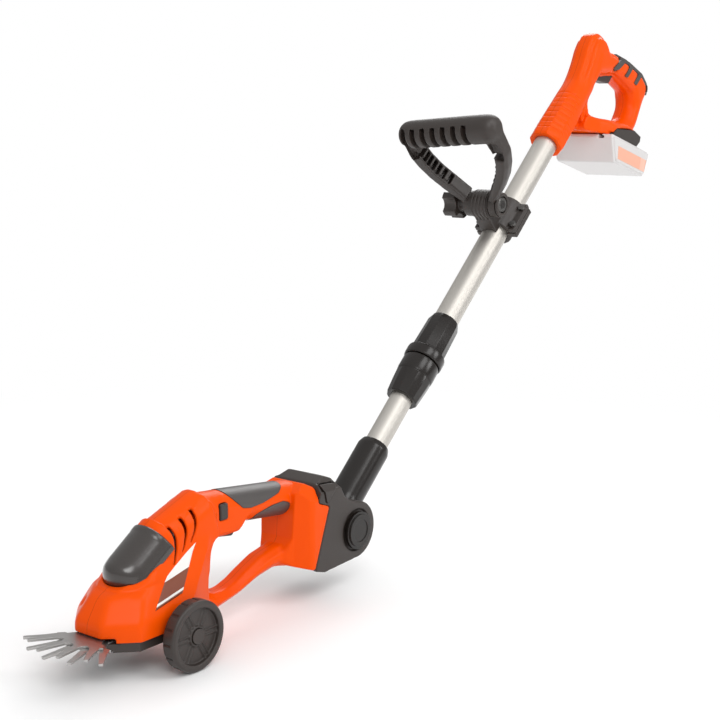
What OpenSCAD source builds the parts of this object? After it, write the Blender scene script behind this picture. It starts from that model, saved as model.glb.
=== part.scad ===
/* [Wheels] */
// Outer diameter of a ground wheel
wheel_d = 55.9; // [50:0.2:60]
// Width of a wheel tread
wheel_w = 12.5; // [11:0.25:13.5]
// Distance between the outer faces of the wheels
track = 104; // [102.4:0.4:110]
// Diameter of the wheel axle
axle_d = 5.6; // [4:0.2:6]
// Distance of the axle behind the datum of the head
axle_back = 7.3; // [6:0.1:9]
// Lift of the head datum over the ground
ride_h = 1.75; // [1:0.05:2.5]
// Number of notches round a tread
tread_notches = 15; // [9:1:24]
// Number of double spokes on a wheel face
wheel_spokes = 6; // [4:1:8]

/* [Head] */
// Distance from the head datum to the upper edge of the dock, which the head outlines follow
head_l = 192; // [188:1:196]
// Height of the head above its datum
head_h = 124.5; // [122:0.5:127]
// Greatest width of the nose
nose_w = 71; // [68:0.5:76]
// Wall of the moulded shells
wall = 2.6; // [2:0.1:3]
// Width of the hand grip on the head
grip_w = 29; // [27:0.5:31]
// Depth of the hand grip on the head
grip_t = 29; // [27:0.5:30]
// Width of the lower strut of the head
strut_w = 25; // [21:0.5:29]
// Radius of the domed nose window
dome_r = 19; // [18:0.5:20]
// Radius of the ridge behind the window
ridge_r = 19; // [17:0.5:21]
// Width of the rear block and the adapter
block_w = 59; // [56:0.5:62]
// Tilt of the dock from upright
dock_tilt = 20; // [16:1:24]
// Thickness of the soft pads on the grips
pad_t = 1.6; // [1.2:0.1:2]

/* [Blades] */
// Radius from the blade pivot to the tips of the fixed comb
comb_r = 61.7; // [58:0.1:68]
// Angle between neighbouring teeth
tooth_angle = 21.9; // [18:0.1:23]
// Number of teeth of the fixed comb
comb_teeth = 5; // [3:2:7]
// Thickness of a blade
blade_t = 1.8; // [1.4:0.1:2.2]
// Distance from the head datum forward to the blade pivot
pivot_reach = 39; // [37:0.5:41]
// Diameter of the blade pivot
blade_pin_d = 6; // [5:0.2:7]

/* [Drive] */
// Teeth of the crank gear
crank_teeth = 30; // [26:2:32]
// Teeth of the motor pinion
pinion_teeth = 8; // [8:1:10]
// Tooth module of the drive gears
gear_mod = 1.5; // [1.4:0.05:1.6]
// Throw of the crank pin
throw = 4; // [3:0.25:4.5]
// Diameter of the crank pin
crank_pin_d = 6; // [5:0.25:6.5]
// Outer diameter of the motor
motor_d = 30; // [26:0.5:31]
// Upper end of the motor can as a share of the head height
motor_share = 0.739; // [0.7:0.001:0.74]

/* [Adapter] */
// Distance from the upper edge of the dock back to the tilt pivot
tilt_back = 39; // [37:0.5:43]
// Height of the tilt pivot above the head datum
tilt_z = 53; // [51:0.5:55]
// Radius of the cheeks round the tilt pivot
cheek_r = 25.7; // [24.5:0.1:27]
// Thickness of a cheek
cheek_t = 13; // [11:0.5:13.5]
// Diameter of the tilt button
tilt_button_d = 34; // [30:0.5:36]
// Diameter of the tilt bolt
tilt_bolt_d = 14; // [12:0.5:16]
// Press travel of the buttons
press = 3; // [2:0.1:3.5]

/* [Pole] */
// Rise of the pole from level
pole_rise = 42.4; // [36:0.2:50]
// Outer diameter of the lower tube
low_tube_d = 22; // [20:0.2:23]
// Outer diameter of the upper tube
up_tube_d = 25; // [24.4:0.1:27]
// Wall of the tubes
tube_wall = 1.2; // [1:0.05:1.3]
// Outer diameter of the pole socket
socket_d = 31; // [29:0.5:32]
// Length of the pole socket from the tilt pivot
socket_l = 90; // [80:1:105]
// Distance along the pole from the tilt pivot to the lock nut
nut_start = 145; // [135:1:160]
// Length of the lock nut
nut_l = 45; // [40:1:52]
// Outer diameter of the lock nut
nut_d = 37; // [35:0.5:40]
// Flats round the lock nut
nut_flats = 12; // [8:1:12]
// Length of the collar sleeve behind the nut
sleeve_l = 53.5; // [48:0.5:66]
// Outer diameter of the collar sleeve
sleeve_d = 33.4; // [31:0.2:35]
// Slide-out travel of the upper tube
pole_travel = 200; // [150:5:220]
// Distance along the pole from the tilt pivot to the rear handle
handle_start = 496; // [480:1:540]

/* [Loop handle] */
// Distance along the pole from the tilt pivot to the loop hinge
loop_at = 370; // [340:1:390]
// Distance from the pole axis to the loop hinge
hinge_out = 37; // [35:0.5:42]
// Distance from the pole axis to the middle of the grip bar
bar_out = 135; // [128:1:144]
// Overall width of the loop handle
loop_w = 116; // [108:1:122]
// Diameter of the grip bar
bar_d = 28; // [25:0.5:30]
// Thickness of the loop arms along the pole
arm_t = 17; // [15:0.5:20]
// Lean of the grip bar from the hinge line
bar_lean = 5.5; // [0:0.5:8]
// Number of slots in the grip bar
bar_slots = 7; // [4:1:9]
// Length of the pole clamp
clamp_l = 36; // [32:1:42]
// Wall of the pole clamp
clamp_wall = 4.5; // [3.5:0.1:6]

/* [Rear handle] */
// Length of the rear handle base, which the rear outlines follow
rear_l = 118; // [116:1:120]
// Height of the rear handle over its base
rear_h = 108; // [106:1:110]
// Angle between the pole and the battery dock
rear_lean = 56.4; // [54:0.2:59]
// Width of the column round the tube
column_w = 40; // [37:0.5:43]
// Width of the rear hand grip
rear_grip_w = 31; // [28:0.5:34]
// Width of the rear dock
foot_w = 60; // [56:0.5:64]

/* [Battery] */
// Length of the battery as a share of the rear handle base
battery_share = 0.7797; // [0.74:0.005:0.82]
// Width of the battery
battery_w = 76; // [72:0.5:80]
// Height of the battery below the dock
battery_t = 30; // [27:0.5:32]
// Diameter of a cell
cell_d = 18; // [16:0.5:19]

/* [Hidden] */
$fn = 48;
// Gap between moving plastic pieces
play = 0.3;
// Running clearance of a pin in its bore
fit = 0.03;
// Overrun of every cut
over = 2;
// Steps of an outline corner, and the share of an edge that it may take
arc_steps = 5;
corner_share = 0.48;
// A length that passes every piece
reach = 4 * handle_start;

// Outline helpers: points run counter-clockwise
function edge_out(a, b) = [b.y - a.y, a.x - b.x] / norm(b - a);
function inset_pts(p, d) = [
  for (i = [0 : len(p) - 1])
    let (
      n1 = edge_out(p[(i + len(p) - 1) % len(p)], p[i]),
      n2 = edge_out(p[i], p[(i + 1) % len(p)])
    )
    p[i] - d * (n1 + n2) / (1 + n1 * n2)
];
function spun(v, a) = [v.x * cos(a) - v.y * sin(a), v.x * sin(a) + v.y * cos(a)];
function corner(a, b, c, r) =
  let (
    u = (a - b) / norm(a - b),
    v = (c - b) / norm(c - b),
    half = acos(u * v) / 2,
    lim = min(norm(a - b), norm(c - b)) * corner_share,
    t = min(r / tan(half), lim),
    q = t * tan(half),
    m = b + (u + v) / norm(u + v) * q / sin(half),
    s = b + u * t - m,
    side = cross(u, v) > 0 ? -1 : 1
  )
  r <= 0 || half > 87 ? [b] : [for (k = [0 : arc_steps]) m + spun(
    s, side * (180 - 2 * half) * k / arc_steps
  )];
function rounded(p, r) = [
  for (i = [0 : len(p) - 1])
    each corner(p[(i + len(p) - 1) % len(p)], p[i], p[(i + 1) % len(p)], r)
];
function sized(p, s) = [for (q = p) [q.x * s.x, q.y * s.y]];
function mirrored(p) = concat(p, [for (i = [len(p) - 1 : -1 : 0]) [-p[i].x, p[i].y]]);
function paired(p) = concat(p, [for (i = [len(p) - 1 : -1 : 0]) [p[i].x, -p[i].y]]);

module slab(pts, half) {
  rotate([90, 0, 0])
    linear_extrude(height = 2 * half, center = true)
      polygon(pts);
}
module soft_slab(pts, r, half, soft) {
  slab(rounded(pts, r), half - soft);
  slab(rounded(inset_pts(pts, soft), r), half);
}
module near_side() {
  intersection() {
    children();
    translate([-reach, -2 * reach, -reach]) cube(2 * reach);
  }
}
module far_side() {
  intersection() {
    children();
    translate([-reach, 0, -reach]) cube(2 * reach);
  }
}
module both_sides() {
  children();
  mirror([0, 1, 0]) children();
}
module rod_y(d, y0, y1) {
  translate([0, y0, 0]) rotate([-90, 0, 0]) cylinder(d = d, h = y1 - y0);
}

// Head levels and places
wheel_r = wheel_d / 2;
axle_z = wheel_r - ride_h;
base_z = 23;
base_t = 7.8;
bracket_drop = 4.6;
seat = 0.2;
comb_sink = 1.2;
base_top = base_z + base_t;
skirt_z = base_top + seat;
comb_z = base_top - comb_sink;
knife_z = comb_z + blade_t + seat;
slot_top = knife_z + blade_t + 3 * play;
slot_w = 44;
crank_link = 33;
crank_x = crank_link - pivot_reach;
tilt_x = head_l + tilt_back;
gear_lift = 2.4;
gear_t = 6;
mesh_gap = 0.3;
plate_t = 3;
gear_z = knife_z + blade_t + gear_lift;
plate_z = gear_z + gear_t + 4 * play;
motor_x = crank_x + gear_mod * (crank_teeth + pinion_teeth) / 2 + mesh_gap;
motor_z = plate_z + plate_t;
motor_l = motor_share * head_h - motor_z;
shaft_d = 4;
post_d = 6;
bracket_l = 20;
boss_d = 13;
boss_end = track / 2 - wheel_w - 2 * play;
screw_d = 3;
screw_head_d = 6;
screw_head_t = 2;
screw_seat_y = 8;
boss_share = 2.4;
screw_deep = strut_w / 2 - wall;

head_size = [head_l, head_h];
function hx(s) = s * head_l;
function hz(s) = s * head_h;

// Lower body of the head, seen from the side, above the skirt line
lower_shares = [
  [0.177, 0.160], [0.302, 0.145], [0.281, 0.275], [0.266, 0.370], [0.297, 0.600], [0.333, 0.690],
  [0.344, 0.868], [0.312, 0.930], [0.250, 0.940], [0.182, 0.885], [0.104, 0.808], [0.000, 0.700],
  [-0.104, 0.590], [-0.172, 0.534], [-0.208, 0.518], [-0.245, 0.494], [-0.305, 0.350]
];
// Bevelled front corners of the nose: distance out from the middle and height
bevel_shares = [
  [0.267, 0.000], [0.267, 0.350], [0.201, 0.506], [0.172, 0.530], [0.135, 0.598], [0.102, 0.655],
  [0.062, 0.719], [0.000, 0.803], [-0.062, 0.900], [-0.156, 1.004], [-1, 1.2], [-1, 0]
];
bevel_turn = 45;
nose_front = hx(0.305);
lower_pts = concat(
  [[-nose_front, skirt_z], [axle_back + bracket_l / 2 + 2 * wall, skirt_z]],
  sized(lower_shares, head_size)
);
// Lower body seen from above and along the axis
plan_shares = [
  [-0.305, -0.21], [-0.262, -0.405], [-0.198, -0.5], [0.083, -0.5], [0.281, -0.272], [0.370, -0.235]
];
section_shares = [[0.5, 0.08], [0.5, 0.355], [0.292, 0.655], [0.245, 0.800], [0.185, 0.955]];
plan_pts = paired(sized(plan_shares, [head_l, nose_w]));
section_pts = mirrored(sized(section_shares, [nose_w, head_h]));
// Ends of the window slope, the ridge and the grip, as shares of the head length and height
slope_shares = [[-0.206, 0.619], [0.042, 0.880]];
ridge_shares = [[-0.021, 0.823], [0.281, 0.994]];
grip_shares = [[0.235, 0.972], [0.880, 0.857]];
trigger_box_shares = [
  [0.285, 0.645], [0.505, 0.650], [0.545, 0.712], [0.585, 0.745], [0.585, 0.840], [0.285, 0.880]
];
strut_shares = [
  [0.200, 0.150], [0.345, 0.141], [0.520, 0.197], [0.645, 0.262], [0.750, 0.290], [0.865, 0.262],
  [0.865, 0.452], [0.755, 0.430], [0.667, 0.402], [0.573, 0.341], [0.510, 0.294], [0.443, 0.262],
  [0.365, 0.268], [0.305, 0.320], [0.275, 0.390], [0.200, 0.390]
];
strut_pts = sized(strut_shares, head_size);

// Dock between the head and the adapter: u runs back, v runs up the dock
dock_h = 55;
dock_top_share = 0.655;
dock_foot = [head_l - dock_h * sin(dock_tilt), hz(dock_top_share) - dock_h * cos(dock_tilt)];
function dk(u, v) = dock_foot + u * [
  cos(dock_tilt), -sin(dock_tilt)
] + v * [sin(dock_tilt), cos(dock_tilt)];
roof_l = 16;
roof_step = 2;
roof_v = dock_h + roof_step;
roof_rise = 15.5;
rail_in = 19;
rail_w = 3.5;
rail_lip = 3;
rail_t = 5;
block_pts = [
  [hx(0.775), hz(0.305)], dk(0, 0), dk(0, roof_v - play), dk(-roof_l - play, roof_v - play),
  dk(-roof_l - play, roof_v + 0.8 * roof_rise), [hx(0.895), hz(0.852)], [hx(0.825), hz(0.800)],
  [hx(0.815), hz(0.480)], [hx(0.785), hz(0.405)]
];
block_plan_shares = [[0.76, -0.21], [0.82, -0.31], [0.885, -0.5], [1.1, -0.5]];
block_plan_pts = paired(sized(block_plan_shares, [head_l, block_w]));
block_section_shares = [[0.5, 0], [0.5, 0.735], [0.29, 0.850], [0.29, 1.2]];
block_section_pts = mirrored(sized(block_section_shares, [block_w, head_h]));

// The outlines are drawn from a point ahead of the axle and above the ground
module on_wheels() {
  translate([-axle_back, 0, ride_h]) children();
}
module along_x(pts, x0, x1) {
  translate([x0, 0, 0]) rotate([90, 0, 90]) linear_extrude(height = x1 - x0) polygon(pts);
}
module sloped(ends) {
  a = [hx(ends[0].x), hz(ends[0].y)];
  b = [hx(ends[1].x), hz(ends[1].y)];
  translate([a.x, 0, a.y]) rotate([0, -atan2(b.y - a.y, b.x - a.x), 0]) children();
}
function slope_l(ends) = norm([hx(ends[1].x - ends[0].x), hz(ends[1].y - ends[0].y)]);

// A round-topped bar below the line between two points of the head
module bar_form(ends, r, depth, w) {
  sloped(ends) {
    translate([w, 0, -r]) rotate([0, 90, 0]) cylinder(r = r - w, h = slope_l(ends) - 2 * w);
    translate([w, w - r, w - r - depth]) cube([slope_l(ends) - 2 * w, 2 * (r - w), depth]);
  }
}
module dome_form(w) {
  intersection() {
    bar_form(slope_shares, dome_r, hz(0.2), w);
    sloped(slope_shares) translate([0, 0, -reach]) linear_extrude(height = 2 * reach)
      window_plan(0, slope_l(slope_shares), dome_r - w, w);
    sloped(slope_shares)
      slab(
        rounded(inset_pts([[0, -2 * dome_r], [reach, -2 * dome_r], [reach, 0], [0, 0]], w), 0.5 * dome_r),
        nose_w
      );
  }
}
module window_plan(x0, x1, r, w) {
  translate([x0 + r + w, 0]) circle(r = r);
  translate([x0 + r + w, -r]) square([x1 - x0 - r - w, 2 * r]);
}
module bevel_form(w) {
  slab(rounded(inset_pts(sized(bevel_shares, head_size), w), 3 * wall), head_l);
}
module lower_form(w) {
  intersection() {
    slab(rounded(inset_pts(lower_pts, w), 4 * wall), nose_w);
    linear_extrude(height = 2 * head_h) polygon(rounded(inset_pts(plan_pts, w), 5 * wall));
    along_x(rounded(inset_pts(section_pts, w), 3 * wall), -head_l, head_l);
    rotate(180 - bevel_turn) bevel_form(w);
    rotate(180 + bevel_turn) bevel_form(w);
  }
}
module nose_form(w) {
  lower_form(w);
  dome_form(w);
  bar_form(ridge_shares, ridge_r, hz(0.18), w);
}
module grip_form(w) {
  r = grip_w / 2;
  sloped(grip_shares) {
    translate([w, 0, -r]) rotate([0, 90, 0]) cylinder(r = r - w, h = slope_l(grip_shares) - 2 * w);
    translate([w, 0, r - grip_t]) rotate([0, 90, 0])
      cylinder(r = r - w, h = slope_l(grip_shares) - 2 * w);
    translate([w, w - r, r - grip_t])
      cube([slope_l(grip_shares) - 2 * w, 2 * (r - w), max(grip_t - 2 * r, 0) + play]);
  }
}
module trigger_box_form(w) {
  soft_slab(inset_pts(sized(trigger_box_shares, head_size), w), 2 * wall, grip_w / 2 - w, wall);
}
module block_form(w) {
  intersection() {
    slab(rounded(inset_pts(block_pts, w), wall), block_w / 2 - w);
    linear_extrude(height = 2 * head_h) polygon(rounded(inset_pts(block_plan_pts, w), 4 * wall));
    along_x(rounded(inset_pts(block_section_pts, w), wall), 0, 2 * head_l);
  }
}
module dock_frame() {
  translate([dock_foot.x, 0, dock_foot.y]) rotate([0, dock_tilt, 0]) children();
}
// Rail of the dock: x runs back from the dock face and z up along it
module dock_rail(grow) {
  both_sides() dock_frame() {
    translate([-over, rail_in - grow, dock_h * 0.08 - grow])
      cube([rail_t + over + grow, rail_w + 2 * grow, dock_h * 0.84 + 2 * grow]);
    translate([rail_t / 2 - grow, rail_in - grow, dock_h * 0.08 - grow])
      cube([rail_t / 2 + 2 * grow, rail_w + rail_lip + 2 * grow, dock_h * 0.84 + 2 * grow]);
  }
}
module head_form() {
  nose_form(0);
  grip_form(0);
  trigger_box_form(0);
  soft_slab(strut_pts, 3 * wall, strut_w / 2, 1.6 * wall);
  block_form(0);
  dock_rail(0);
}
module head_cavity() {
  nose_form(wall);
  difference() {
    grip_form(wall + pad_t);
    slab([[hx(0.80), 0], [hx(1.2), 0], [hx(1.2), 2 * head_h], [hx(0.80), 2 * head_h]], nose_w);
  }
  trigger_box_form(wall);
  intersection() {
    block_form(2 * wall);
    slab(
      [
        dk(-2 * roof_l, dock_h * 0.1), dk(0, dock_h * 0.1), dk(0, roof_v - 3 * wall),
        dk(-2 * roof_l, roof_v - 3 * wall)
      ],
      nose_w
    );
  }
  translate([-nose_front + 2 * wall, -slot_w / 2, base_z])
    cube([nose_front - 2 * wall + hx(0.045), slot_w, slot_top - base_z]);
}

// Outlines of the trim on the head, as shares of the head length and height
top_pad_shares = [
  [0.392, 1.060], [0.418, 0.950], [0.470, 0.864], [0.512, 0.805], [0.562, 0.790], [0.640, 0.797],
  [0.755, 0.826], [0.797, 0.856], [0.812, 0.900], [0.790, 1.060]
];
under_pad_shares = [
  [0.600, 0.520], [0.790, 0.520], [0.820, 0.680], [0.822, 0.735], [0.775, 0.762], [0.700, 0.757],
  [0.640, 0.738], [0.600, 0.718]
];
label_shares = [[-0.104, 0.405], [0.055, 0.447], [0.196, 0.700], [0.000, 0.566]];
vent_at_shares = [[0.096, 0.742], [0.157, 0.800], [0.214, 0.846]];
vent_in = 11.5;
vent_r = 24;
vent_t = 3.1;
lock_shares = [0.393, 0.820];
lock_l = 9;
lock_h = 13;
trigger_shares = [[0.378, 0.640], [0.490, 0.612], [0.505, 0.640], [0.505, 0.715], [0.378, 0.715]];
trigger_w = 13;
trigger_lift = 5;
screw_shares = [[-0.215, 0.42], [0.215, 0.30], [0.262, 0.815], [0.610, 0.300], [0.850, 0.560]];

module pad_cut(shares, w) {
  difference() {
    slab(rounded(sized(shares, head_size), 2 * wall), nose_w);
    grip_form(w);
  }
}
module window_zone(grow) {
  sloped(slope_shares) translate([0, 0, -0.96 * dome_r - grow]) linear_extrude(height = 2 * dome_r)
    window_plan(-pad_t - grow, slope_l(slope_shares) * 0.85 + grow, dome_r + pad_t + grow, 0);
}
module crescent(at) {
  both_sides() translate([hx(at.x) - vent_r, vent_in, hz(at.y)]) rotate([90, 0, 0])
    translate([0, 0, -nose_w]) linear_extrude(height = nose_w)
    difference() {
      intersection() {
        circle(r = vent_r);
        translate([0, -0.78 * vent_r]) square([2 * vent_r, 1.36 * vent_r]);
      }
      translate([-vent_t, -0.07 * vent_r]) circle(r = vent_r);
    }
}
module head_cuts() {
  head_cavity();
  window_zone(play / 2);
  translate([-2 * nose_front, -slot_w / 2, base_z])
    cube([2 * nose_front - pivot_reach, slot_w, slot_top - base_z]);
  pad_cut(top_pad_shares, pad_t);
  pad_cut(under_pad_shares, pad_t);
  for (s = vent_at_shares) crescent(s);
  translate([hx(lock_shares.x) - lock_l / 2 - play, -nose_w, hz(lock_shares.y) - lock_h / 2 - play])
    cube([lock_l + 2 * play, 2 * nose_w, lock_h + 2 * play]);
  slab(inset_pts(sized(trigger_shares, head_size), -2 * play), trigger_w / 2 + play);
  terminal_form(play);
}
module screw_bosses(shares, size, d, half) {
  for (s = shares) translate([s.x * size.x, -half, s.y * size.y]) rod_y(d, 0, 2 * half);
}
module screw_seats(shares, size, deep) {
  for (s = shares) translate([s.x * size.x, 0, s.y * size.y]) {
    rod_y(screw_d + 2 * fit, -deep - seat, screw_seat_y + over);
    rod_y(screw_head_d + 2 * play, screw_seat_y, 2 * nose_w);
  }
}
module head_shell() {
  difference() {
    union() {
      difference() {
        head_form();
        head_cuts();
      }
      intersection() {
        screw_bosses(screw_shares, head_size, boss_share * screw_d, nose_w);
        union() {
          lower_form(0);
          trigger_box_form(0);
          grip_form(pad_t);
          block_form(0);
          soft_slab(strut_pts, 3 * wall, strut_w / 2, 1.6 * wall);
        }
      }
      switch_ribs();
    }
    screw_seats(screw_shares, head_size, screw_deep);
  }
}
switch_share = 0.470;
switch_drop_share = 0.5586;
switch_at = [
  hx(switch_share),
  hz(lookup(switch_share, grip_shares)) - switch_drop_share * grip_t
];
switch_l = 20;
switch_h = 8;
switch_w = 12;
module switch_ribs() {
  intersection() {
    grip_form(pad_t);
    both_sides() for (k = [0.25, 0.75])
      translate([switch_at.x + k * switch_l - wall / 2, switch_w / 2 + seat, switch_at.y])
        cube([wall, grip_w, switch_h * 0.7]);
  }
}
module head_shell_left() {
  on_wheels() color("orangered") near_side() head_shell();
}
module head_shell_right() {
  on_wheels() color("orangered") far_side() head_shell();
}
module nose_window() {
  on_wheels() color([0.13, 0.13, 0.14]) difference() {
    intersection() {
      dome_form(-pad_t / 2);
      window_zone(0);
    }
    dome_form(wall);
  }
}
module head_grip_top() {
  on_wheels() color([0.2, 0.2, 0.21]) difference() {
    intersection() {
      pad_cut(top_pad_shares, pad_t - seat / 2);
      grip_form(-pad_t / 4);
    }
    screw_seats(screw_shares, head_size, screw_deep);
  }
}
module head_grip_under() {
  on_wheels() color([0.2, 0.2, 0.21]) intersection() {
    pad_cut(under_pad_shares, pad_t - seat / 2);
    grip_form(-pad_t / 4);
  }
}
label_t = 0.3;
module side_label() {
  on_wheels() color([0.42, 0.2, 0.12]) difference() {
    intersection() {
      lower_form(-label_t);
      translate([0, -nose_w / 2, 0]) slab(rounded(sized(label_shares, head_size), wall / 4), nose_w / 2);
    }
    lower_form(0);
    grip_form(0);
  }
}
module head_switch() {
  on_wheels() color([0.12, 0.12, 0.12])
    translate([switch_at.x, -switch_w / 2, switch_at.y]) difference() {
    cube([switch_l, switch_w, switch_h]);
    for (k = [0.3, 0.7]) translate([k * switch_l, -over, switch_h / 2])
      rod_y(screw_d, 0, switch_w + 2 * over);
  }
}
module head_trigger() {
  on_wheels() color([0.12, 0.12, 0.13]) difference() {
    soft_slab(sized(trigger_shares, head_size), wall, trigger_w / 2, wall / 3);
    translate([switch_at.x - wall, -trigger_w, hz(0.70)]) cube([switch_l, 2 * trigger_w, head_h]);
  }
}
module head_lock_off() {
  half = grip_w / 2 + pad_t / 2;
  on_wheels() color([0.12, 0.12, 0.13]) translate([hx(lock_shares.x), 0, hz(lock_shares.y)]) {
    soft_slab(
      [
        [-lock_l / 2, -lock_h / 2], [lock_l / 2, -lock_h / 2], [lock_l / 2, lock_h / 2],
        [-lock_l / 2, lock_h / 2]
      ],
      wall / 2, half, wall / 4
    );
  }
}
terminal_w = 32;
terminal_h = 24;
terminal_v = 18;
terminal_t = 7;
module terminal_form(grow) {
  dock_frame() translate([-terminal_t - grow, -terminal_w / 2 - grow, terminal_v - grow])
    cube([terminal_t + 2 * grow, terminal_w + 2 * grow, terminal_h + 2 * grow]);
}
module head_terminals() {
  on_wheels() color([0.15, 0.15, 0.15]) difference() {
    terminal_form(0);
    dock_frame() for (k = [-1.5 : 1 : 1.5])
      translate([-terminal_t / 2, k * terminal_w / 5 - wall / 4, terminal_v + wall])
        cube([terminal_t, wall / 2, terminal_h]);
  }
}
module head_screws() {
  on_wheels() color("silver") for (s = screw_shares) translate([hx(s.x), 0, hz(s.y)]) difference() {
    union() {
      rod_y(screw_d, -screw_deep, screw_seat_y);
      rod_y(screw_head_d, screw_seat_y, screw_seat_y + screw_head_t);
    }
    translate([-screw_d / 2, screw_seat_y + screw_head_t / 2, -screw_d / 12])
      cube([screw_d, screw_head_t, screw_d / 6]);
    translate([-screw_d / 12, screw_seat_y + screw_head_t / 2, -screw_d / 2])
      cube([screw_d / 6, screw_head_t, screw_d]);
  }
}

// Base, wheels and axle
module base_screw_places() {
  for (x = [-nose_front * 0.62, -nose_front * 0.30], s = [-1, 1]) translate([x, s * nose_w * 0.36, 0])
    children();
}
module head_base() {
  on_wheels() color([0.13, 0.13, 0.14]) difference() {
    intersection() {
      translate([0, 0, base_z]) linear_extrude(height = base_t)
        polygon(rounded(inset_pts(plan_pts, 1.2 * wall), 4 * wall));
      translate([-2 * nose_front, -nose_w, 0])
        cube([2 * nose_front + axle_back - bracket_l / 2 - seat, 2 * nose_w, head_h]);
      rotate(180 - bevel_turn) bevel_form(1.2 * wall);
      rotate(180 + bevel_turn) bevel_form(1.2 * wall);
    }
    translate([-2 * nose_front, -slot_w / 2, comb_z]) cube([3 * nose_front, slot_w, head_h]);
    translate([-pivot_reach, 0, 0]) cylinder(d = blade_pin_d + 2 * fit, h = head_h);
    comb_screw_places() cylinder(d = screw_d + 2 * fit, h = head_h);
    base_screw_places() {
      cylinder(d = screw_d + 2 * fit, h = head_h);
      cylinder(d = screw_head_d + 2 * play, h = base_z + screw_head_t + seat);
    }
    for (k = [0.35, 0.5, 0.65])
      translate([-nose_front * 1.02, (k - 0.5) * nose_w * 1.6 - wall / 2, base_z - over])
      cube([nose_front * 0.5, wall, over + wall / 2]);
  }
}
module base_screws() {
  on_wheels() color("silver") base_screw_places() {
    translate([0, 0, base_z + seat]) cylinder(d = screw_head_d, h = screw_head_t);
    translate([0, 0, base_z + seat]) cylinder(d = screw_d, h = base_t - seat);
  }
}
module wheel_bracket() {
  on_wheels() color([0.13, 0.13, 0.14]) translate([axle_back, 0, 0]) difference() {
    union() {
      translate([-bracket_l / 2, -nose_w * 0.45, axle_z - bracket_drop])
        cube([bracket_l, nose_w * 0.9, base_top - axle_z + bracket_drop]);
      translate([0, 0, axle_z]) rod_y(boss_d * 0.7, -boss_end, boss_end);
    }
    translate([0, 0, axle_z]) rod_y(axle_d + 2 * fit, -track, track);
  }
}
module wheel_axle() {
  color("silver") translate([0, 0, wheel_r])
    rod_y(axle_d, -track / 2 + 1.2 * cap_t, track / 2 - 1.2 * cap_t);
}
cap_d = 12;
cap_t = 2.4;
module axle_caps() {
  color([0.16, 0.16, 0.17]) both_sides() translate([0, 0, wheel_r]) difference() {
    rod_y(cap_d, track / 2 - 2 * cap_t, track / 2 - 0.4 * cap_t);
    rod_y(axle_d + 2 * fit, 0, track / 2 - 1.2 * cap_t);
  }
}
rim_share = 0.79;
hub_share = 0.31;
module wheel_at(side) {
  y = track / 2;
  s = wheel_w;
  color([0.2, 0.2, 0.2]) translate([0, 0, wheel_r]) mirror([0, side > 0 ? 0 : 1, 0]) difference() {
    union() {
      rotate([-90, 0, 0]) translate([0, 0, y - s]) rotate_extrude() polygon([
        [axle_d / 2 + fit, s * 0.08], [hub_share * wheel_r, s * 0.08], [hub_share * wheel_r, s * 0.3],
        [
          rim_share * wheel_r, s * 0.3
        ], [rim_share * wheel_r, 0], [wheel_r * 0.95, 0], [wheel_r, s * 0.12],
        [wheel_r, s * 0.86], [wheel_r * 0.985, s * 0.93], [wheel_r * 0.94, s], [
          rim_share * wheel_r + wall / 2, s
        ],
        [rim_share * wheel_r, s * 0.95], [rim_share * wheel_r, s * 0.68], [hub_share * wheel_r, s * 0.68],
        [
          hub_share * wheel_r * 0.9, s * 0.86
        ], [cap_d / 2 + play, s * 0.86], [cap_d / 2 + play, s - 2.2 * cap_t],
        [axle_d / 2 + fit, s - 2.2 * cap_t]
      ]);
      for (k = [0 : wheel_spokes - 1], j = [-1, 1]) rotate([0, k * 360 / wheel_spokes, 0])
        translate([hub_share * wheel_r * 0.93, y - s * 0.34, j * wheel_r * 0.075 - wheel_r * 0.02])
          cube([(rim_share - hub_share * 0.93) * wheel_r + seat, s * 0.12, wheel_r * 0.04]);
    }
    for (k = [0 : tread_notches - 1]) rotate([0, (k + 0.5) * 360 / tread_notches, 0])
      translate([wheel_r * 0.955, y - s - over, -wheel_r * 0.03])
        cube([wheel_r, s * 0.72 + over, wheel_r * 0.06]);
  }
}
module wheel_left() {
  wheel_at(-1);
}
module wheel_right() {
  wheel_at(1);
}

// Blades: both combs turn about the same pin
tooth_root_share = 0.60;
tooth_root_w = 8.6;
tooth_tip_w = 4;
gap_w = 6.4;
neck_w = 32;
comb_tail = 22;
knife_short = 3;
module comb_screw_places() {
  for (s = [-1, 1]) translate([-pivot_reach + comb_tail * 0.62, s * neck_w * 0.3, 0]) children();
}
// One tooth along +X from the pin, ending in a round tip
module tooth(r, w_root, w_tip) {
  polygon(rounded(
    [
      [0, -w_root / 2], [r * 0.6, -w_root / 2], [r, -w_tip / 2], [r, w_tip / 2], [r * 0.6, w_root / 2],
      [0, w_root / 2]
    ],
    w_tip * 0.45
  ));
}
module fan(n, r, step) {
  root = comb_r * tooth_root_share;
  difference() {
    union() {
      intersection() {
        circle(r = root);
        polygon([
          [0, 0], reach * [cos(step * n / 2), sin(step * n / 2)], [reach, 0],
          reach * [cos(step * n / 2), -sin(step * n / 2)]
        ]);
      }
      for (k = [0 : n - 1]) rotate((k - (n - 1) / 2) * step) tooth(r, tooth_root_w, tooth_tip_w);
    }
    for (k = [1 : n - 1]) rotate((k - n / 2) * step) translate([root, 0]) circle(d = gap_w);
  }
}
module pin_frame(z) {
  translate([-pivot_reach, 0, z]) rotate(180) children();
}
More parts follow.
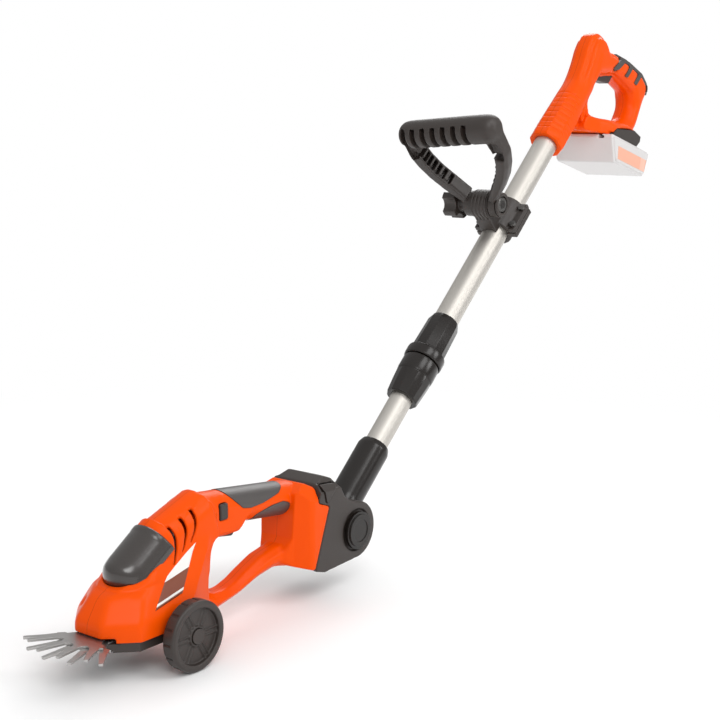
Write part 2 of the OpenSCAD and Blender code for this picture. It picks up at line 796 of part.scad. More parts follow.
module lower_blade() {
  root = comb_r * tooth_root_share;
  on_wheels() color([0.75, 0.75, 0.76]) pin_frame(comb_z) linear_extrude(height = blade_t) difference() {
    union() {
      intersection() {
        fan(comb_teeth, comb_r, tooth_angle);
        translate([comb_r * 0.36, -reach]) square(2 * reach);
      }
      polygon(rounded(
        [
          [-comb_tail, -neck_w / 2], [comb_r * 0.22, -neck_w / 2], [comb_r * 0.42, -neck_w * 0.8],
          [comb_r * 0.5, 0], [comb_r * 0.42, neck_w * 0.8], [comb_r * 0.22, neck_w / 2],
          [-comb_tail, neck_w / 2]
        ],
        wall
      ));
    }
    circle(d = blade_pin_d + 2 * fit);
    for (s = [-1, 1]) translate([-comb_tail * 0.62, s * neck_w * 0.3]) circle(d = screw_d + 2 * fit);
  }
}
slot_play = 0.7;
lever_w = 15;
lever_end = 4;
module upper_blade() {
  r = comb_r - knife_short;
  tail = crank_link + throw + crank_pin_d / 2 + slot_play;
  on_wheels() color([0.8, 0.8, 0.81]) pin_frame(knife_z) linear_extrude(height = blade_t) difference() {
    union() {
      intersection() {
        fan(comb_teeth - 1, r, tooth_angle);
        translate([comb_r * 0.36, -reach]) square(2 * reach);
      }
      polygon(rounded(
        [
          [-tail - lever_end, -lever_w / 2], [-blade_pin_d, -lever_w / 2], [comb_r * 0.2, -neck_w * 0.36],
          [comb_r * 0.42, -neck_w * 0.66], [comb_r * 0.5, 0], [comb_r * 0.42, neck_w * 0.66],
          [comb_r * 0.2, neck_w * 0.36], [-blade_pin_d, lever_w / 2], [-tail - lever_end, lever_w / 2]
        ],
        wall
      ));
    }
    circle(d = blade_pin_d + 2 * fit);
    translate([-tail, -crank_pin_d / 2 - slot_play])
      square([tail - crank_link + crank_pin_d / 2 + slot_play, crank_pin_d + 2 * slot_play]);
  }
}
pin_head_d = 11;
pin_head_t = 1.4;
module blade_pivot() {
  on_wheels() color("silver") translate([-pivot_reach, 0, 0]) {
    translate([0, 0, base_z + seat]) cylinder(d = blade_pin_d, h = knife_z + blade_t + seat - base_z);
    translate([0, 0, knife_z + blade_t + seat]) cylinder(d = pin_head_d, h = pin_head_t);
  }
}
module blade_screws() {
  on_wheels() color("silver") comb_screw_places() translate([0, 0, base_z + seat])
    cylinder(d = screw_d, h = comb_z + blade_t - base_z - seat);
}

// Drive: crank gear, gear plate, motor
tip_share = 0.75;
root_share = 1.15;
tooth_side_shares = [-0.31, -0.2, -0.1, 0.1, 0.2, 0.31];
module gear_outline(n, phase) {
  rp = gear_mod * n / 2;
  ro = rp + tip_share * gear_mod;
  ri = rp - root_share * gear_mod;
  radii = [ri, rp, ro, ro, rp, ri];
  polygon([
    for (k = [0 : n - 1], i = [0 : len(radii) - 1])
      let (a = phase + (k + tooth_side_shares[i]) * 360 / n)
        radii[i] * [cos(a), sin(a)]
  ]);
}
module crank_gear() {
  on_wheels() color([0.85, 0.83, 0.78]) translate([crank_x, 0, 0]) {
    difference() {
      translate([0, 0, gear_z]) linear_extrude(height = gear_t) gear_outline(crank_teeth, 0);
      translate([0, 0, gear_z - over]) cylinder(d = post_d + 2 * fit, h = gear_t + 2 * over);
      for (k = [60 : 60 : 300]) rotate(k) translate([gear_mod * crank_teeth * 0.3, 0, gear_z - over])
        cylinder(d = crank_pin_d, h = gear_t + 2 * over);
    }
    translate([throw, 0, knife_z - play])
      cylinder(d = crank_pin_d, h = gear_z - knife_z + play - pin_flange_t);
    difference() {
      translate([throw, 0, gear_z - pin_flange_t])
        cylinder(d = 2.4 * crank_pin_d, h = pin_flange_t + seat);
      translate([0, 0, gear_z - over]) cylinder(d = post_d + 2 * fit, h = gear_t + 2 * over);
    }
  }
}
pin_flange_t = 1.4;
module crank_post() {
  on_wheels() color("silver") translate([crank_x, 0, gear_z - pin_flange_t / 2])
    cylinder(d = post_d, h = motor_z - gear_z + pin_flange_t / 2);
}
plate_w = 62;
module gear_plate() {
  on_wheels() color([0.3, 0.3, 0.31]) difference() {
    intersection() {
      translate([0, 0, plate_z]) linear_extrude(height = plate_t) {
        polygon(rounded(
          [
            [hx(-0.16), -plate_w / 2], [hx(0.07), -plate_w / 2], [hx(0.19), -plate_w * 0.3],
            [hx(0.19), plate_w * 0.3], [hx(0.07), plate_w / 2], [hx(-0.16), plate_w / 2]
          ],
          2 * wall
        ));
        translate([hx(-0.07), -nose_w / 2]) square([hx(0.09), nose_w]);
      }
      lower_form(wall);
    }
    screw_bosses(screw_shares, head_size, boss_share * screw_d + 2 * play, nose_w);
    translate([crank_x, 0, 0]) cylinder(d = post_d + 2 * fit, h = head_h);
    translate([motor_x, 0, 0]) cylinder(d = gear_mod * pinion_teeth + 4 * wall / 2, h = head_h);
    for (s = [-1, 1]) translate([hx(-0.11), s * plate_w * 0.36, 0]) cylinder(d = 2 * screw_d, h = head_h);
  }
}
module motor_can() {
  on_wheels() color([0.6, 0.6, 0.62]) translate([motor_x, 0, motor_z]) difference() {
    cylinder(d = motor_d, h = motor_l);
    translate([0, 0, wall]) cylinder(d = motor_d - wall, h = motor_l - 2 * wall);
    translate([0, 0, -over]) cylinder(d = shaft_d + 2 * fit, h = motor_l + 2 * over);
    for (k = [45 : 90 : 315]) rotate(k) translate([motor_d * 0.3, 0, motor_l - 2 * wall])
      cylinder(d = 2 * wall, h = 3 * wall);
  }
}
module motor_rotor() {
  on_wheels() color([0.55, 0.4, 0.25]) translate([motor_x, 0, 0]) {
    translate([0, 0, gear_z]) linear_extrude(height = gear_t)
      gear_outline(pinion_teeth, 180 + 180 / pinion_teeth);
    translate([0, 0, gear_z + gear_t - seat])
      cylinder(d = shaft_d, h = motor_l + motor_z - gear_z - gear_t + wall);
    translate([0, 0, motor_z + motor_l * 0.2]) cylinder(d = motor_d * 0.72, h = motor_l * 0.6);
  }
}

// Adapter between the head and the pole
half_w = block_w / 2 + play;
knuckle_w = 2 * (half_w - cheek_t);
knuckle_sink = 2.2;
recess_gap = 2;
foot_sink = 2.3;
foot_lip = 1;
foot_run = 13;
knuckle_r = cheek_r - knuckle_sink;
slot_r = cheek_r + 2 * play;
recess_r = tilt_button_d / 2 + recess_gap;
foot_z = tilt_z - cheek_r - foot_sink;
roof_back = 2.5;
roof_front = 6;
roof_peak = 24.5;
adapter_pts = [
  dk(play, -foot_lip),
  [dk(0, 0).x + foot_run, foot_z],
  [tilt_x, tilt_z - cheek_r],
  [tilt_x, tilt_z + cheek_r],
  [tilt_x - 0.46 * cheek_r, tilt_z + 1.2 * cheek_r],
  [tilt_x - 0.66 * cheek_r, tilt_z + 1.34 * cheek_r],
  dk(roof_back, roof_v + roof_peak),
  dk(-roof_front, roof_v + roof_peak),
  dk(-roof_l, roof_v + roof_rise),
  dk(-roof_l, roof_v),
  dk(play, roof_v)
];
roof_side = 10;
module adapter_form(grow) {
  top = dk(-roof_front, roof_v + roof_peak).y;
  out = half_w + grow;
  intersection() {
    slab(rounded(inset_pts(adapter_pts, -grow), wall), out);
    along_x(
      mirrored([[out, 0], [out, top - 1.15 * roof_side], [out - roof_side, top + grow]]), 0, 2 * head_l
    );
  }
  translate([tilt_x, 0, tilt_z]) rod_y(2 * (cheek_r + grow), -out, out);
}
button_shares = [[-0.92, 1.0], [-0.3, 0.08], [0.3, 1.35]];
button_pts = [for (s = button_shares) dk(s.x * roof_l, roof_v + s.y * roof_rise)];
button_deep = 8;
// Hollow of the adapter and the screws round it
tail_pts = [
  dk(0.62 * roof_l, 0.09 * dock_h), [dk(0, 0).x + 1.54 * foot_run, foot_z + 3 * wall],
  [tilt_x - slot_r - 2 * wall, foot_z + 3.5 * wall], [
    tilt_x - slot_r - 1.4 * wall, tilt_z + 0.3 * cheek_r
  ],
  [tilt_x - slot_r - wall, tilt_z + cheek_r], dk(0.19 * roof_l, roof_v + 0.5 * roof_rise),
  dk(-0.19 * roof_l, roof_v + 0.45 * roof_rise), dk(0.56 * roof_l, roof_v - 0.65 * roof_rise)
];
adapter_screws_at = [
  dk(0.44 * roof_l, 0.44 * dock_h), [dk(0, 0).x + 1.85 * foot_run, foot_z + 1.75 * wall],
  dk(0.06 * roof_l, roof_v + 0.8 * roof_rise)
];
adapter_screw_share = 0.55;
// Way of the pole between the cheeks, from level to past upright
way_front = 0.25 * socket_d;
way_lean = 15;
pole_way_pts = [
  [tilt_x - way_front, tilt_z], [tilt_x, tilt_z - slot_r], [tilt_x + reach, tilt_z - slot_r],
  [tilt_x + reach, tilt_z + reach], [tilt_x - way_front - reach * tan(way_lean), tilt_z + reach]
];
module release_zone(grow) {
  both_sides() translate([0, half_w - button_deep / 2 + over, 0])
    slab(rounded(inset_pts(button_pts, -grow), wall / 2), button_deep / 2 + over);
}
module adapter_body() {
  difference() {
    adapter_form(0);
    translate([tilt_x, 0, tilt_z]) rod_y(2 * slot_r, -knuckle_w / 2, knuckle_w / 2);
    slab(pole_way_pts, knuckle_w / 2);
    both_sides() dock_frame() {
      translate([-over, rail_in - play, -half_w])
        cube([rail_t + over + play, rail_w + 2 * play, dock_h * 0.92 + play + half_w]);
      translate([rail_t / 2 - play, rail_in - play, -half_w])
        cube([rail_t / 2 + 2 * play, rail_w + rail_lip + 2 * play, dock_h * 0.92 + play + half_w]);
    }
    slab(rounded(tail_pts, wall), half_w - 2 * wall);
    both_sides() translate([0, half_w - button_deep - press - play + reach / 2, 0])
      slab(rounded(inset_pts(button_pts, -play), wall / 2), reach / 2);
    translate([tilt_x, 0, tilt_z]) {
      rod_y(tilt_bolt_d + 2 * fit, -reach, reach);
      both_sides() rod_y(2 * recess_r, half_w - wall, reach);
    }
    for (p = adapter_screws_at) translate([p.x, 0, p.y]) {
      rod_y(screw_d + 2 * fit, -half_w * adapter_screw_share, half_w);
      rod_y(screw_head_d + 2 * play, half_w * adapter_screw_share, 2 * half_w);
    }
  }
}
module adapter_left() {
  on_wheels() color([0.19, 0.19, 0.2]) near_side() adapter_body();
}
module adapter_right() {
  on_wheels() color([0.19, 0.19, 0.2]) far_side() adapter_body();
}
module adapter_screws() {
  y = half_w * adapter_screw_share;
  on_wheels() color("silver") for (p = adapter_screws_at) translate([p.x, 0, p.y]) difference() {
    union() {
      rod_y(screw_d, seat - y, y);
      rod_y(screw_head_d, y, y + screw_head_t);
    }
    translate([-screw_d / 2, y + screw_head_t / 2, -screw_d / 12])
      cube([screw_d, screw_head_t, screw_d / 6]);
  }
}
module release_button() {
  intersection() {
    release_zone(0);
    adapter_form(wall / 3);
  }
}
module release_button_left() {
  on_wheels() color([0.12, 0.12, 0.13]) near_side() release_button();
}
module release_button_right() {
  on_wheels() color([0.12, 0.12, 0.13]) far_side() release_button();
}
bolt_head_t = 3;
stem_d = 8;
module pivot_bolt() {
  y0 = -half_w + wall;
  on_wheels() color("dimgray") translate([tilt_x, 0, tilt_z]) difference() {
    union() {
      rod_y(tilt_bolt_d, y0, half_w - wall + seat);
      rod_y(2 * recess_r - 4 * play, half_w - wall, half_w + wall / 2);
    }
    rod_y(stem_d + 4 * fit, y0 - over, half_w - 2 * wall);
    for (k = [0 : 60 : 300]) rotate([0, k, 0]) translate([recess_r * 0.5, half_w + wall / 4, -wall / 4])
      cube([recess_r * 0.35, over, wall / 2]);
  }
}
module pivot_button() {
  y0 = -half_w + wall - play - press;
  on_wheels() color([0.16, 0.16, 0.17]) translate([tilt_x, 0, tilt_z]) difference() {
    union() {
      rod_y(tilt_button_d, y0 - wall, y0);
      rod_y(tilt_button_d * 0.86, y0 - 1.5 * wall, y0 - wall + seat);
      rod_y(stem_d, y0 - seat, knuckle_w / 2);
    }
    rod_y(tilt_button_d * 0.6, y0 - 2 * wall, y0 - 1.25 * wall);
  }
}

// Pole frame: z runs up the pole from the tilt pin, x points below it
module on_pole() {
  translate([tilt_x, 0, tilt_z]) rotate([0, 90 - pole_rise, 0]) children();
}
module tube(d0, d1, z0, z1) {
  translate([0, 0, z0]) difference() {
    cylinder(d = d1, h = z1 - z0);
    translate([0, 0, -over]) cylinder(d = d0, h = z1 - z0 + 2 * over);
  }
}
tube_stop = 5;
tube_foot = knuckle_r + tube_stop;
module pivot_socket() {
  on_wheels() color([0.2, 0.2, 0.21]) on_pole() difference() {
    union() {
      rod_y(2 * knuckle_r, play - knuckle_w / 2, knuckle_w / 2 - play);
      rotate_extrude()
        polygon([
          [0, 0], [socket_d / 2 + 1.5 * play, 0], [socket_d / 2 + 1.5 * play, knuckle_r],
          [socket_d / 2, knuckle_r + 2 * wall], [socket_d / 2, socket_l - 2.2 * wall],
          [low_tube_d / 2 + wall, socket_l], [0, socket_l]
        ]);
    }
    rod_y(tilt_bolt_d + 2 * fit, -knuckle_w, knuckle_w);
    translate([0, 0, tube_foot]) cylinder(d = low_tube_d + 2 * fit, h = socket_l);
    for (k = [0 : 11]) rotate([0, k * 30, 0]) translate([knuckle_r - wall / 2, -knuckle_w, -wall / 4])
      cube([wall, knuckle_w - knuckle_w / 3, wall / 2]);
  }
}
low_end = nut_start + nut_l + pole_travel + 1.6 * nut_d;
module lower_tube() {
  on_wheels() color("silver") on_pole()
    tube(low_tube_d - 2 * tube_wall, low_tube_d, tube_foot + seat, low_end);
}
sleeve_z = nut_start + nut_l + play;
flange_l = 11;
collet_wall = 2.5;
collet_d = low_tube_d + 2 * collet_wall;
nut_lip = 1.3;
sleeve_lip = 1.4;
sleeve_taper = 5;
module lock_nut() {
  n = nut_flats;
  on_wheels() color([0.17, 0.17, 0.18]) on_pole() difference() {
    intersection() {
      translate([0, 0, nut_start]) rotate_extrude()
        polygon([
          [low_tube_d / 2 + play, 0], [nut_d * 0.43, 0], [nut_d * 0.445, nut_lip],
          [nut_d * 0.5, nut_l * 0.6], [nut_d * 0.5, nut_l - nut_lip], [nut_d * 0.485, nut_l],
          [low_tube_d / 2 + play, nut_l]
        ]);
      union() {
        translate([0, 0, nut_start]) linear_extrude(height = nut_l * 0.62)
          polygon([for (k = [0 : n - 1], c = [-0.36, 0.36]) nut_d * 0.495 * [
            cos((k + c) * 360 / n), sin((k + c) * 360 / n)
          ]]);
        translate([0, 0, nut_start + nut_l * 0.6]) cylinder(d = 2 * nut_d, h = nut_l);
      }
    }
    translate([0, 0, nut_start + nut_l * 0.3]) cylinder(d = collet_d + 2 * play, h = nut_l);
    for (k = [0 : n - 1]) rotate((k + 0.5) * 360 / n)
      translate([nut_d * 0.455, -wall / 2, nut_start - over]) cube([nut_d, wall, nut_l * 0.52]);
  }
}
flutes = 22;
module collar_sleeve() {
  d = sleeve_d;
  on_wheels() color([0.2, 0.2, 0.21]) on_pole() difference() {
    union() {
      translate([0, 0, sleeve_z]) rotate_extrude()
        polygon([
          [low_tube_d / 2 + play, 0], [d * 0.575, 0], [d * 0.59, sleeve_lip],
          [d * 0.59, flange_l - sleeve_lip], [d * 0.56, flange_l], [d / 2, flange_l],
          [d * 0.47, sleeve_l - sleeve_taper], [up_tube_d / 2 + wall / 2, sleeve_l],
          [low_tube_d / 2 + play, sleeve_l]
        ]);
      translate([0, 0, nut_start + nut_l * 0.34]) difference() {
        cylinder(d = collet_d, h = nut_l * 0.66 + 2 * play);
        translate([0, 0, -over]) cylinder(d = low_tube_d + 2 * play, h = nut_l + 2 * over);
        for (k = [0, 90]) rotate(k) translate([-reach, -wall / 4, -over])
          cube([2 * reach, wall / 2, nut_l * 0.5]);
      }
    }
    translate([0, 0, sleeve_z + wall]) cylinder(d = up_tube_d + 2 * fit, h = sleeve_l);
    for (k = [0 : flutes - 1]) rotate(k * 360 / flutes)
      translate([d * 0.483, -d * 0.022, sleeve_z + flange_l + wall])
      cube([d, d * 0.044, sleeve_l - flange_l - sleeve_taper - 2 * wall]);
  }
}
tube_in = 70;
module upper_tube() {
  on_wheels() color("silver") on_pole()
    tube(up_tube_d - 2 * tube_wall, up_tube_d, sleeve_z + wall + seat, handle_start + tube_in);
}

// Loop handle frame: x across, y away from the pole, z up the pole
module on_loop() {
  on_pole() translate([0, 0, loop_at]) rotate(90) children();
}
arm_shares = [
  [0.420, 0.985], [0.428, 0.82], [0.393, 0.71], [0.338, 0.605], [0.245, 0.485], [0.135, 0.360]
];
arm_width_shares = [0.155, 0.138, 0.128, 0.118, 0.110, 0.075];
function arm_side(k, side) = let (
  p = arm_shares[k],
  a = arm_shares[max(k - 1, 0)],
  b = arm_shares[min(k + 1, len(arm_shares) - 1)],
  d = [(b.x - a.x) * loop_w, (b.y - a.y) * bar_out],
  n = [d.y, -d.x] / norm(d)
) [p.x * loop_w, p.y * bar_out] + side * n * arm_width_shares[k] * loop_w / 2;
function arm_outline(thin) = concat(
  [for (k = [0 : len(arm_shares) - 1]) arm_side(k, thin)],
  [for (k = [len(arm_shares) - 1 : -1 : 0]) arm_side(k, -thin)]
);
eye_r = 13;
eye_in = 10.5;
eye_w = 8;
disc_w = 1.2;
bolt_d = 8;
arm_gaps = 9;
arm_gap_w = 4.2;
bar_slot_w = 6;
module loop_handle() {
  r = bar_d / 2;
  on_wheels() color([0.18, 0.18, 0.19]) on_loop() difference() {
    union() {
      both_x() {
        translate([0, 0, -arm_t / 2 + wall]) linear_extrude(height = arm_t - 2 * wall)
          polygon(arm_outline(1));
        translate([0, 0, -arm_t / 2]) linear_extrude(height = arm_t) polygon(arm_outline(0.72));
        translate([eye_in, hinge_out, 0]) rotate([0, 90, 0]) cylinder(r = eye_r, h = eye_w);
      }
      translate([0, bar_out, 0]) rotate(-bar_lean) translate([-loop_w / 2, 0, 0]) rotate([0, 90, 0])
        rotate_extrude()
        polygon([
          [0, 0], [r * 0.45, 0], [r * 0.75, r * 0.16], [r * 0.93, r * 0.42], [r, r * 0.8],
          [r, loop_w - r * 0.8], [r * 0.93, loop_w - r * 0.42], [r * 0.75, loop_w - r * 0.16],
          [r * 0.45, loop_w], [0, loop_w]
        ]);
    }
    both_x() translate([-over, hinge_out, 0]) rotate([0, 90, 0])
      cylinder(d = bolt_d + 2 * fit, h = reach);
    translate([0, bar_out, 0]) rotate(-bar_lean) for (k = [0 : bar_slots - 1])
      translate([
        (k - (bar_slots - 1) / 2 + 0.905) * 0.108 * loop_w - bar_slot_w / 2, -r * 1.15, -reach - r * 0.15
      ])
      cube([bar_slot_w, 2 * r, reach]);
    both_x() {
      for (k = [2 : arm_gaps - 1]) arm_gap(k);
      for (k = [0, 1]) hull() {
        arm_pocket(k);
        arm_pocket(k + 1);
      }
    }
    both_x() translate([0, hinge_out - 2 * eye_r, -reach])
      cube([eye_in, 2 * eye_r + eye_r * 1.1, 2 * reach]);
  }
}
function arm_mix(t) = let (n = len(arm_shares) - 2, i = min(floor(t * n), n - 1), f = t * n - i)
  arm_shares[i] * (1 - f) + arm_shares[i + 1] * f;
// Ladder of gaps on the inner side of an arm, and the pocket below its upper end
module arm_gap(k) {
  translate(arm_gap_at(k)) rotate(arm_gap_turn(k)) translate([-loop_w * 0.1, -arm_gap_w / 2, -arm_t * 0.38])
    cube([loop_w * 0.115, arm_gap_w, arm_t * 0.76]);
}
module arm_pocket(k) {
  translate(arm_gap_at(k)) rotate(arm_gap_turn(k)) translate([-loop_w * 0.042, -arm_gap_w / 2, -arm_t])
    cube([loop_w * 0.084, arm_gap_w, arm_t * 0.8]);
}
function arm_gap_at(k) = let (p = arm_mix((k + 0.9) / (arm_gaps + 0.4))) [p.x * loop_w, p.y * bar_out, 0];
function arm_gap_turn(k) = let (
  p = arm_mix((k + 0.7) / (arm_gaps + 0.4)), q = arm_mix((k + 1.1) / (arm_gaps + 0.4))
)
  atan2((q.y - p.y) * bar_out, (q.x - p.x) * loop_w) + 90;
module both_x() {
  children();
  mirror([1, 0, 0]) children();
}
module click_discs() {
  on_wheels() color("dimgray") on_loop() both_x() translate([eye_in - seat - disc_w, hinge_out, 0])
    rotate([0, 90, 0]) difference() {
    cylinder(r = 1.05 * eye_r, h = disc_w);
    translate([0, 0, -over]) cylinder(d = bolt_d + 2 * fit, h = disc_w + 2 * over);
  }
}
module loop_bolt() {
  x0 = -eye_in - eye_w - seat;
  on_wheels() color("dimgray") on_loop() translate([0, hinge_out, 0]) rotate([0, 90, 0]) {
    translate([0, 0, x0 - seat]) cylinder(d = bolt_d, h = 2.4 * (eye_in + eye_w));
    translate([0, 0, x0 - wall]) rotate_extrude()
      polygon([[0, 0], [bolt_d * 0.85, 0], [bolt_d, wall * 0.5], [bolt_d, wall], [0, wall]]);
  }
}
knob_r = 16.5;
knob_l = 23;
knob_lobes = 5;
module wing_knob() {
  on_wheels() color([0.16, 0.16, 0.17]) on_loop() translate([eye_in + eye_w + 2 * play, hinge_out, 0])
    rotate([0, 90, 0]) difference() {
    union() {
      cylinder(r = knob_r * 0.49, h = knob_l * 0.45);
      translate([0, 0, knob_l * 0.36]) linear_extrude(height = knob_l * 0.64) difference() {
        circle(r = knob_r);
        for (k = [0 : knob_lobes - 1]) rotate((k + 0.5) * 360 / knob_lobes) translate([knob_r * 1.18, 0])
          circle(r = knob_r * 0.48);
      }
    }
    translate([0, 0, -over]) cylinder(d = bolt_d + 2 * fit, h = knob_l * 0.8 + over);
    translate([0, 0, knob_l * 0.92]) cylinder(r = knob_r * 0.4, h = knob_l);
  }
}
clamp_back = 4;
clamp_gap = 0.4;
clamp_flange_w = 47;
clamp_flange_t = 6;
clamp_screw_d = 4;
module clamp_half(side) {
  ro = up_tube_d / 2 + clamp_wall;
  difference() {
    union() {
      translate([0, 0, -clamp_back]) cylinder(r = ro, h = clamp_l);
      translate([-clamp_flange_w / 2, -clamp_flange_t, -clamp_back])
        cube([clamp_flange_w, 2 * clamp_flange_t, clamp_l]);
      if (side > 0) {
        translate([-eye_in + disc_w + 2 * seat, 0, -eye_r])
          cube([2 * (eye_in - disc_w - 2 * seat), hinge_out, clamp_l * 0.75]);
        translate([-eye_in + disc_w + 2 * seat, hinge_out, 0]) rotate([0, 90, 0])
          cylinder(r = 1.12 * eye_r, h = 2 * (eye_in - disc_w - 2 * seat));
      }
    }
    translate([0, 0, -reach]) cylinder(d = up_tube_d + 2 * fit, h = 2 * reach);
    translate([-reach, side > 0 ? -reach : -clamp_gap, -reach])
      cube([2 * reach, reach + clamp_gap, 2 * reach]);
    translate([-reach, hinge_out, 0]) rotate([0, 90, 0]) cylinder(d = bolt_d + 2 * fit, h = 2 * reach);
    clamp_screw_places() rotate([90, 0, 0])
      cylinder(d = clamp_screw_d + 2 * fit, h = 2 * reach, center = true);
  }
}
module clamp_screw_places() {
  for (s = [-1, 1], k = [0.18, 0.82]) translate([s * clamp_flange_w * 0.42, 0, k * clamp_l - clamp_back])
    children();
}
module clamp_front() {
  on_wheels() color([0.16, 0.16, 0.17]) on_loop() clamp_half(1);
}
module clamp_rear() {
  on_wheels() color([0.16, 0.16, 0.17]) on_loop() clamp_half(-1);
}
module clamp_screws() {
  on_wheels() color("silver") on_loop() clamp_screw_places() rotate([90, 0, 0]) {
    translate([0, 0, -clamp_flange_t]) cylinder(d = clamp_screw_d, h = 2 * clamp_flange_t);
    translate([0, 0, -clamp_flange_t - clamp_screw_d * 0.6])
      cylinder(d = 1.7 * clamp_screw_d, h = clamp_screw_d * 0.6);
  }
}

// Rear handle frame: x runs back along the battery, z away from it
rear_drop = 55.1;
rear_off = 75.3;
module on_rear() {
  on_pole() translate([rear_drop, 0, handle_start + rear_off]) rotate([0, rear_lean - 90, 0]) children();
}
rear_size = [rear_l, rear_h];
rear_screw_deep = rear_grip_w / 2 - 2 * wall;
rear_out_shares = [
  [-0.42, -0.05], [-0.07, 0.000], [0.545, 0.000], [0.600, 0.110], [0.735, 0.190], [0.785, 0.285],
  [0.848, 0.540], [0.898, 0.690], [0.885, 0.795], [0.725, 0.882], [0.420, 0.920], [0.000, 0.905],
  [-0.150, 0.905], [-0.240, 0.870], [-0.27, 0.500]
];
rear_gap_shares = [
  [-0.205, 0.190], [0.010, 0.170], [0.370, 0.230], [0.572, 0.315], [0.630, 0.490], [0.580, 0.605],
  [0.190, 0.675], [-0.100, 0.575], [-0.245, 0.300]
];
rear_out_pts = sized(rear_out_shares, rear_size);
rear_gap_pts = sized(rear_gap_shares, rear_size);
tongue_l = 152;
tongue_t = column_w * 0.66;
// The loop is rounded in steps: half width and inset of each
loop_half_shares = [0.5, 0.82, 1];
loop_inset_shares = [0, 0.42, 1];
loop_soft = 7.5;
module rear_loop_form(w) {
  for (k = [0 : len(loop_half_shares) - 1])
    let (in = loop_inset_shares[k] * loop_soft + w, half = loop_half_shares[k] * rear_grip_w / 2 - w)
      difference() {
        slab(rounded(inset_pts(rear_out_pts, in), 4 * wall), half);
        slab(rounded(inset_pts(rear_gap_pts, -in), 3 * wall), half + over);
      }
}
// Column from the tube up to the top of the handle, seen from the side along the pole
tongue_shares = [
  [0.36, -0.45], [1.05, -0.45], [1.055, 0.45], [1.01, 0.95], [0.94, 1.15], [0.83, 1.03], [0.745, 0.83],
  [0.66, 0.69], [0.48, 0.47], [0.36, 0.45]
];
collar_shares = [
  [0, 0], [0.65, 0], [0.70, 0.02], [0.70, 0.15], [0.68, 0.31], [0.635, 0.48], [0.60, 0.66], [0, 0.66]
];
tongue_w = 29;
module column_form() {
  translate([0, 0, handle_start]) rotate_extrude() polygon(sized(collar_shares, [tongue_t, tongue_l]));
  translate([0, 0, handle_start]) rotate([0, -90, 0])
    soft_slab(sized(tongue_shares, [tongue_l, tongue_t]), 3 * wall, tongue_w / 2, 2.2 * wall);
}
foot_shares = [
  [-0.36, -0.04], [-0.08, 0.004], [0.560, 0.004], [0.605, 0.100], [0.600, 0.205], [0.350, 0.215],
  [0.000, 0.165], [-0.30, 0.12]
];
foot_plan_shares = [[-0.42, -0.25], [-0.12, -0.36], [0.06, -0.5], [0.50, -0.5], [0.68, -0.27]];
dock_shares = [
  [0.017, 0.003], [0.525, 0.003], [0.593, 0.083], [0.593, 0.135], [0.441, 0.164], [0.093, 0.088]
];
rear_pad_shares = [
  [
    [0.190, 0.960], [0.230, 0.865], [0.430, 0.858], [0.705, 0.825], [0.812, 0.765], [0.838, 0.680],
    [0.950, 0.620], [1.000, 0.900], [0.760, 1.000]
  ],
  [[0.230, 0.875], [0.085, 0.725], [0.165, 0.720], [0.320, 0.875]],
  [[0.424, 0.870], [0.335, 0.720], [0.390, 0.720], [0.485, 0.870]],
  [[0.630, 0.855], [0.535, 0.705], [0.590, 0.695], [0.690, 0.845]]
];
rear_trigger_shares = [
  [-0.085, 0.555], [0.170, 0.590], [0.220, 0.680], [0.212, 0.715], [-0.017, 0.715], [-0.068, 0.645]
];
rear_hollow_shares = [
  [-0.07, 0.730], [0.240, 0.730], [0.560, 0.700], [0.700, 0.600], [0.790, 0.700], [0.700, 0.785],
  [0.420, 0.832], [-0.07, 0.832]
];
rear_lock_l = 15;
rear_lock_w = 12;
rear_lock_press = 2.5;
rear_lock_shares = [-0.085, 0.822];
rear_lock_h = 11.5;
rear_switch_shares = [0.240, 0.745];
rear_screw_shares = [[-0.11, 0.125], [0.720, 0.420], [0.785, 0.640], [-0.200, 0.800]];
module rear_pad_cut(w) {
  difference() {
    for (p = rear_pad_shares) slab(sized(p, rear_size), nose_w);
    rear_loop_form(w);
  }
}
module rear_trigger_zone(grow, lift) {
  for (k = [0 : 0.25 : 1]) translate([0, 0, k * lift])
    slab(inset_pts(sized(rear_trigger_shares, rear_size), -grow), trigger_w / 2 + grow);
}
module rear_lock_zone(grow) {
  translate([
    rear_lock_shares.x * rear_l - grow, -rear_lock_w / 2 - grow,
    rear_lock_shares.y * rear_h - grow - rear_lock_press
  ])
    cube([rear_lock_l + 2 * grow, rear_lock_w + 2 * grow, rear_h]);
}
module dock_zone(grow, half) {
  slab(inset_pts(sized(dock_shares, rear_size), -grow), half);
}
tongue_ribs = 3;
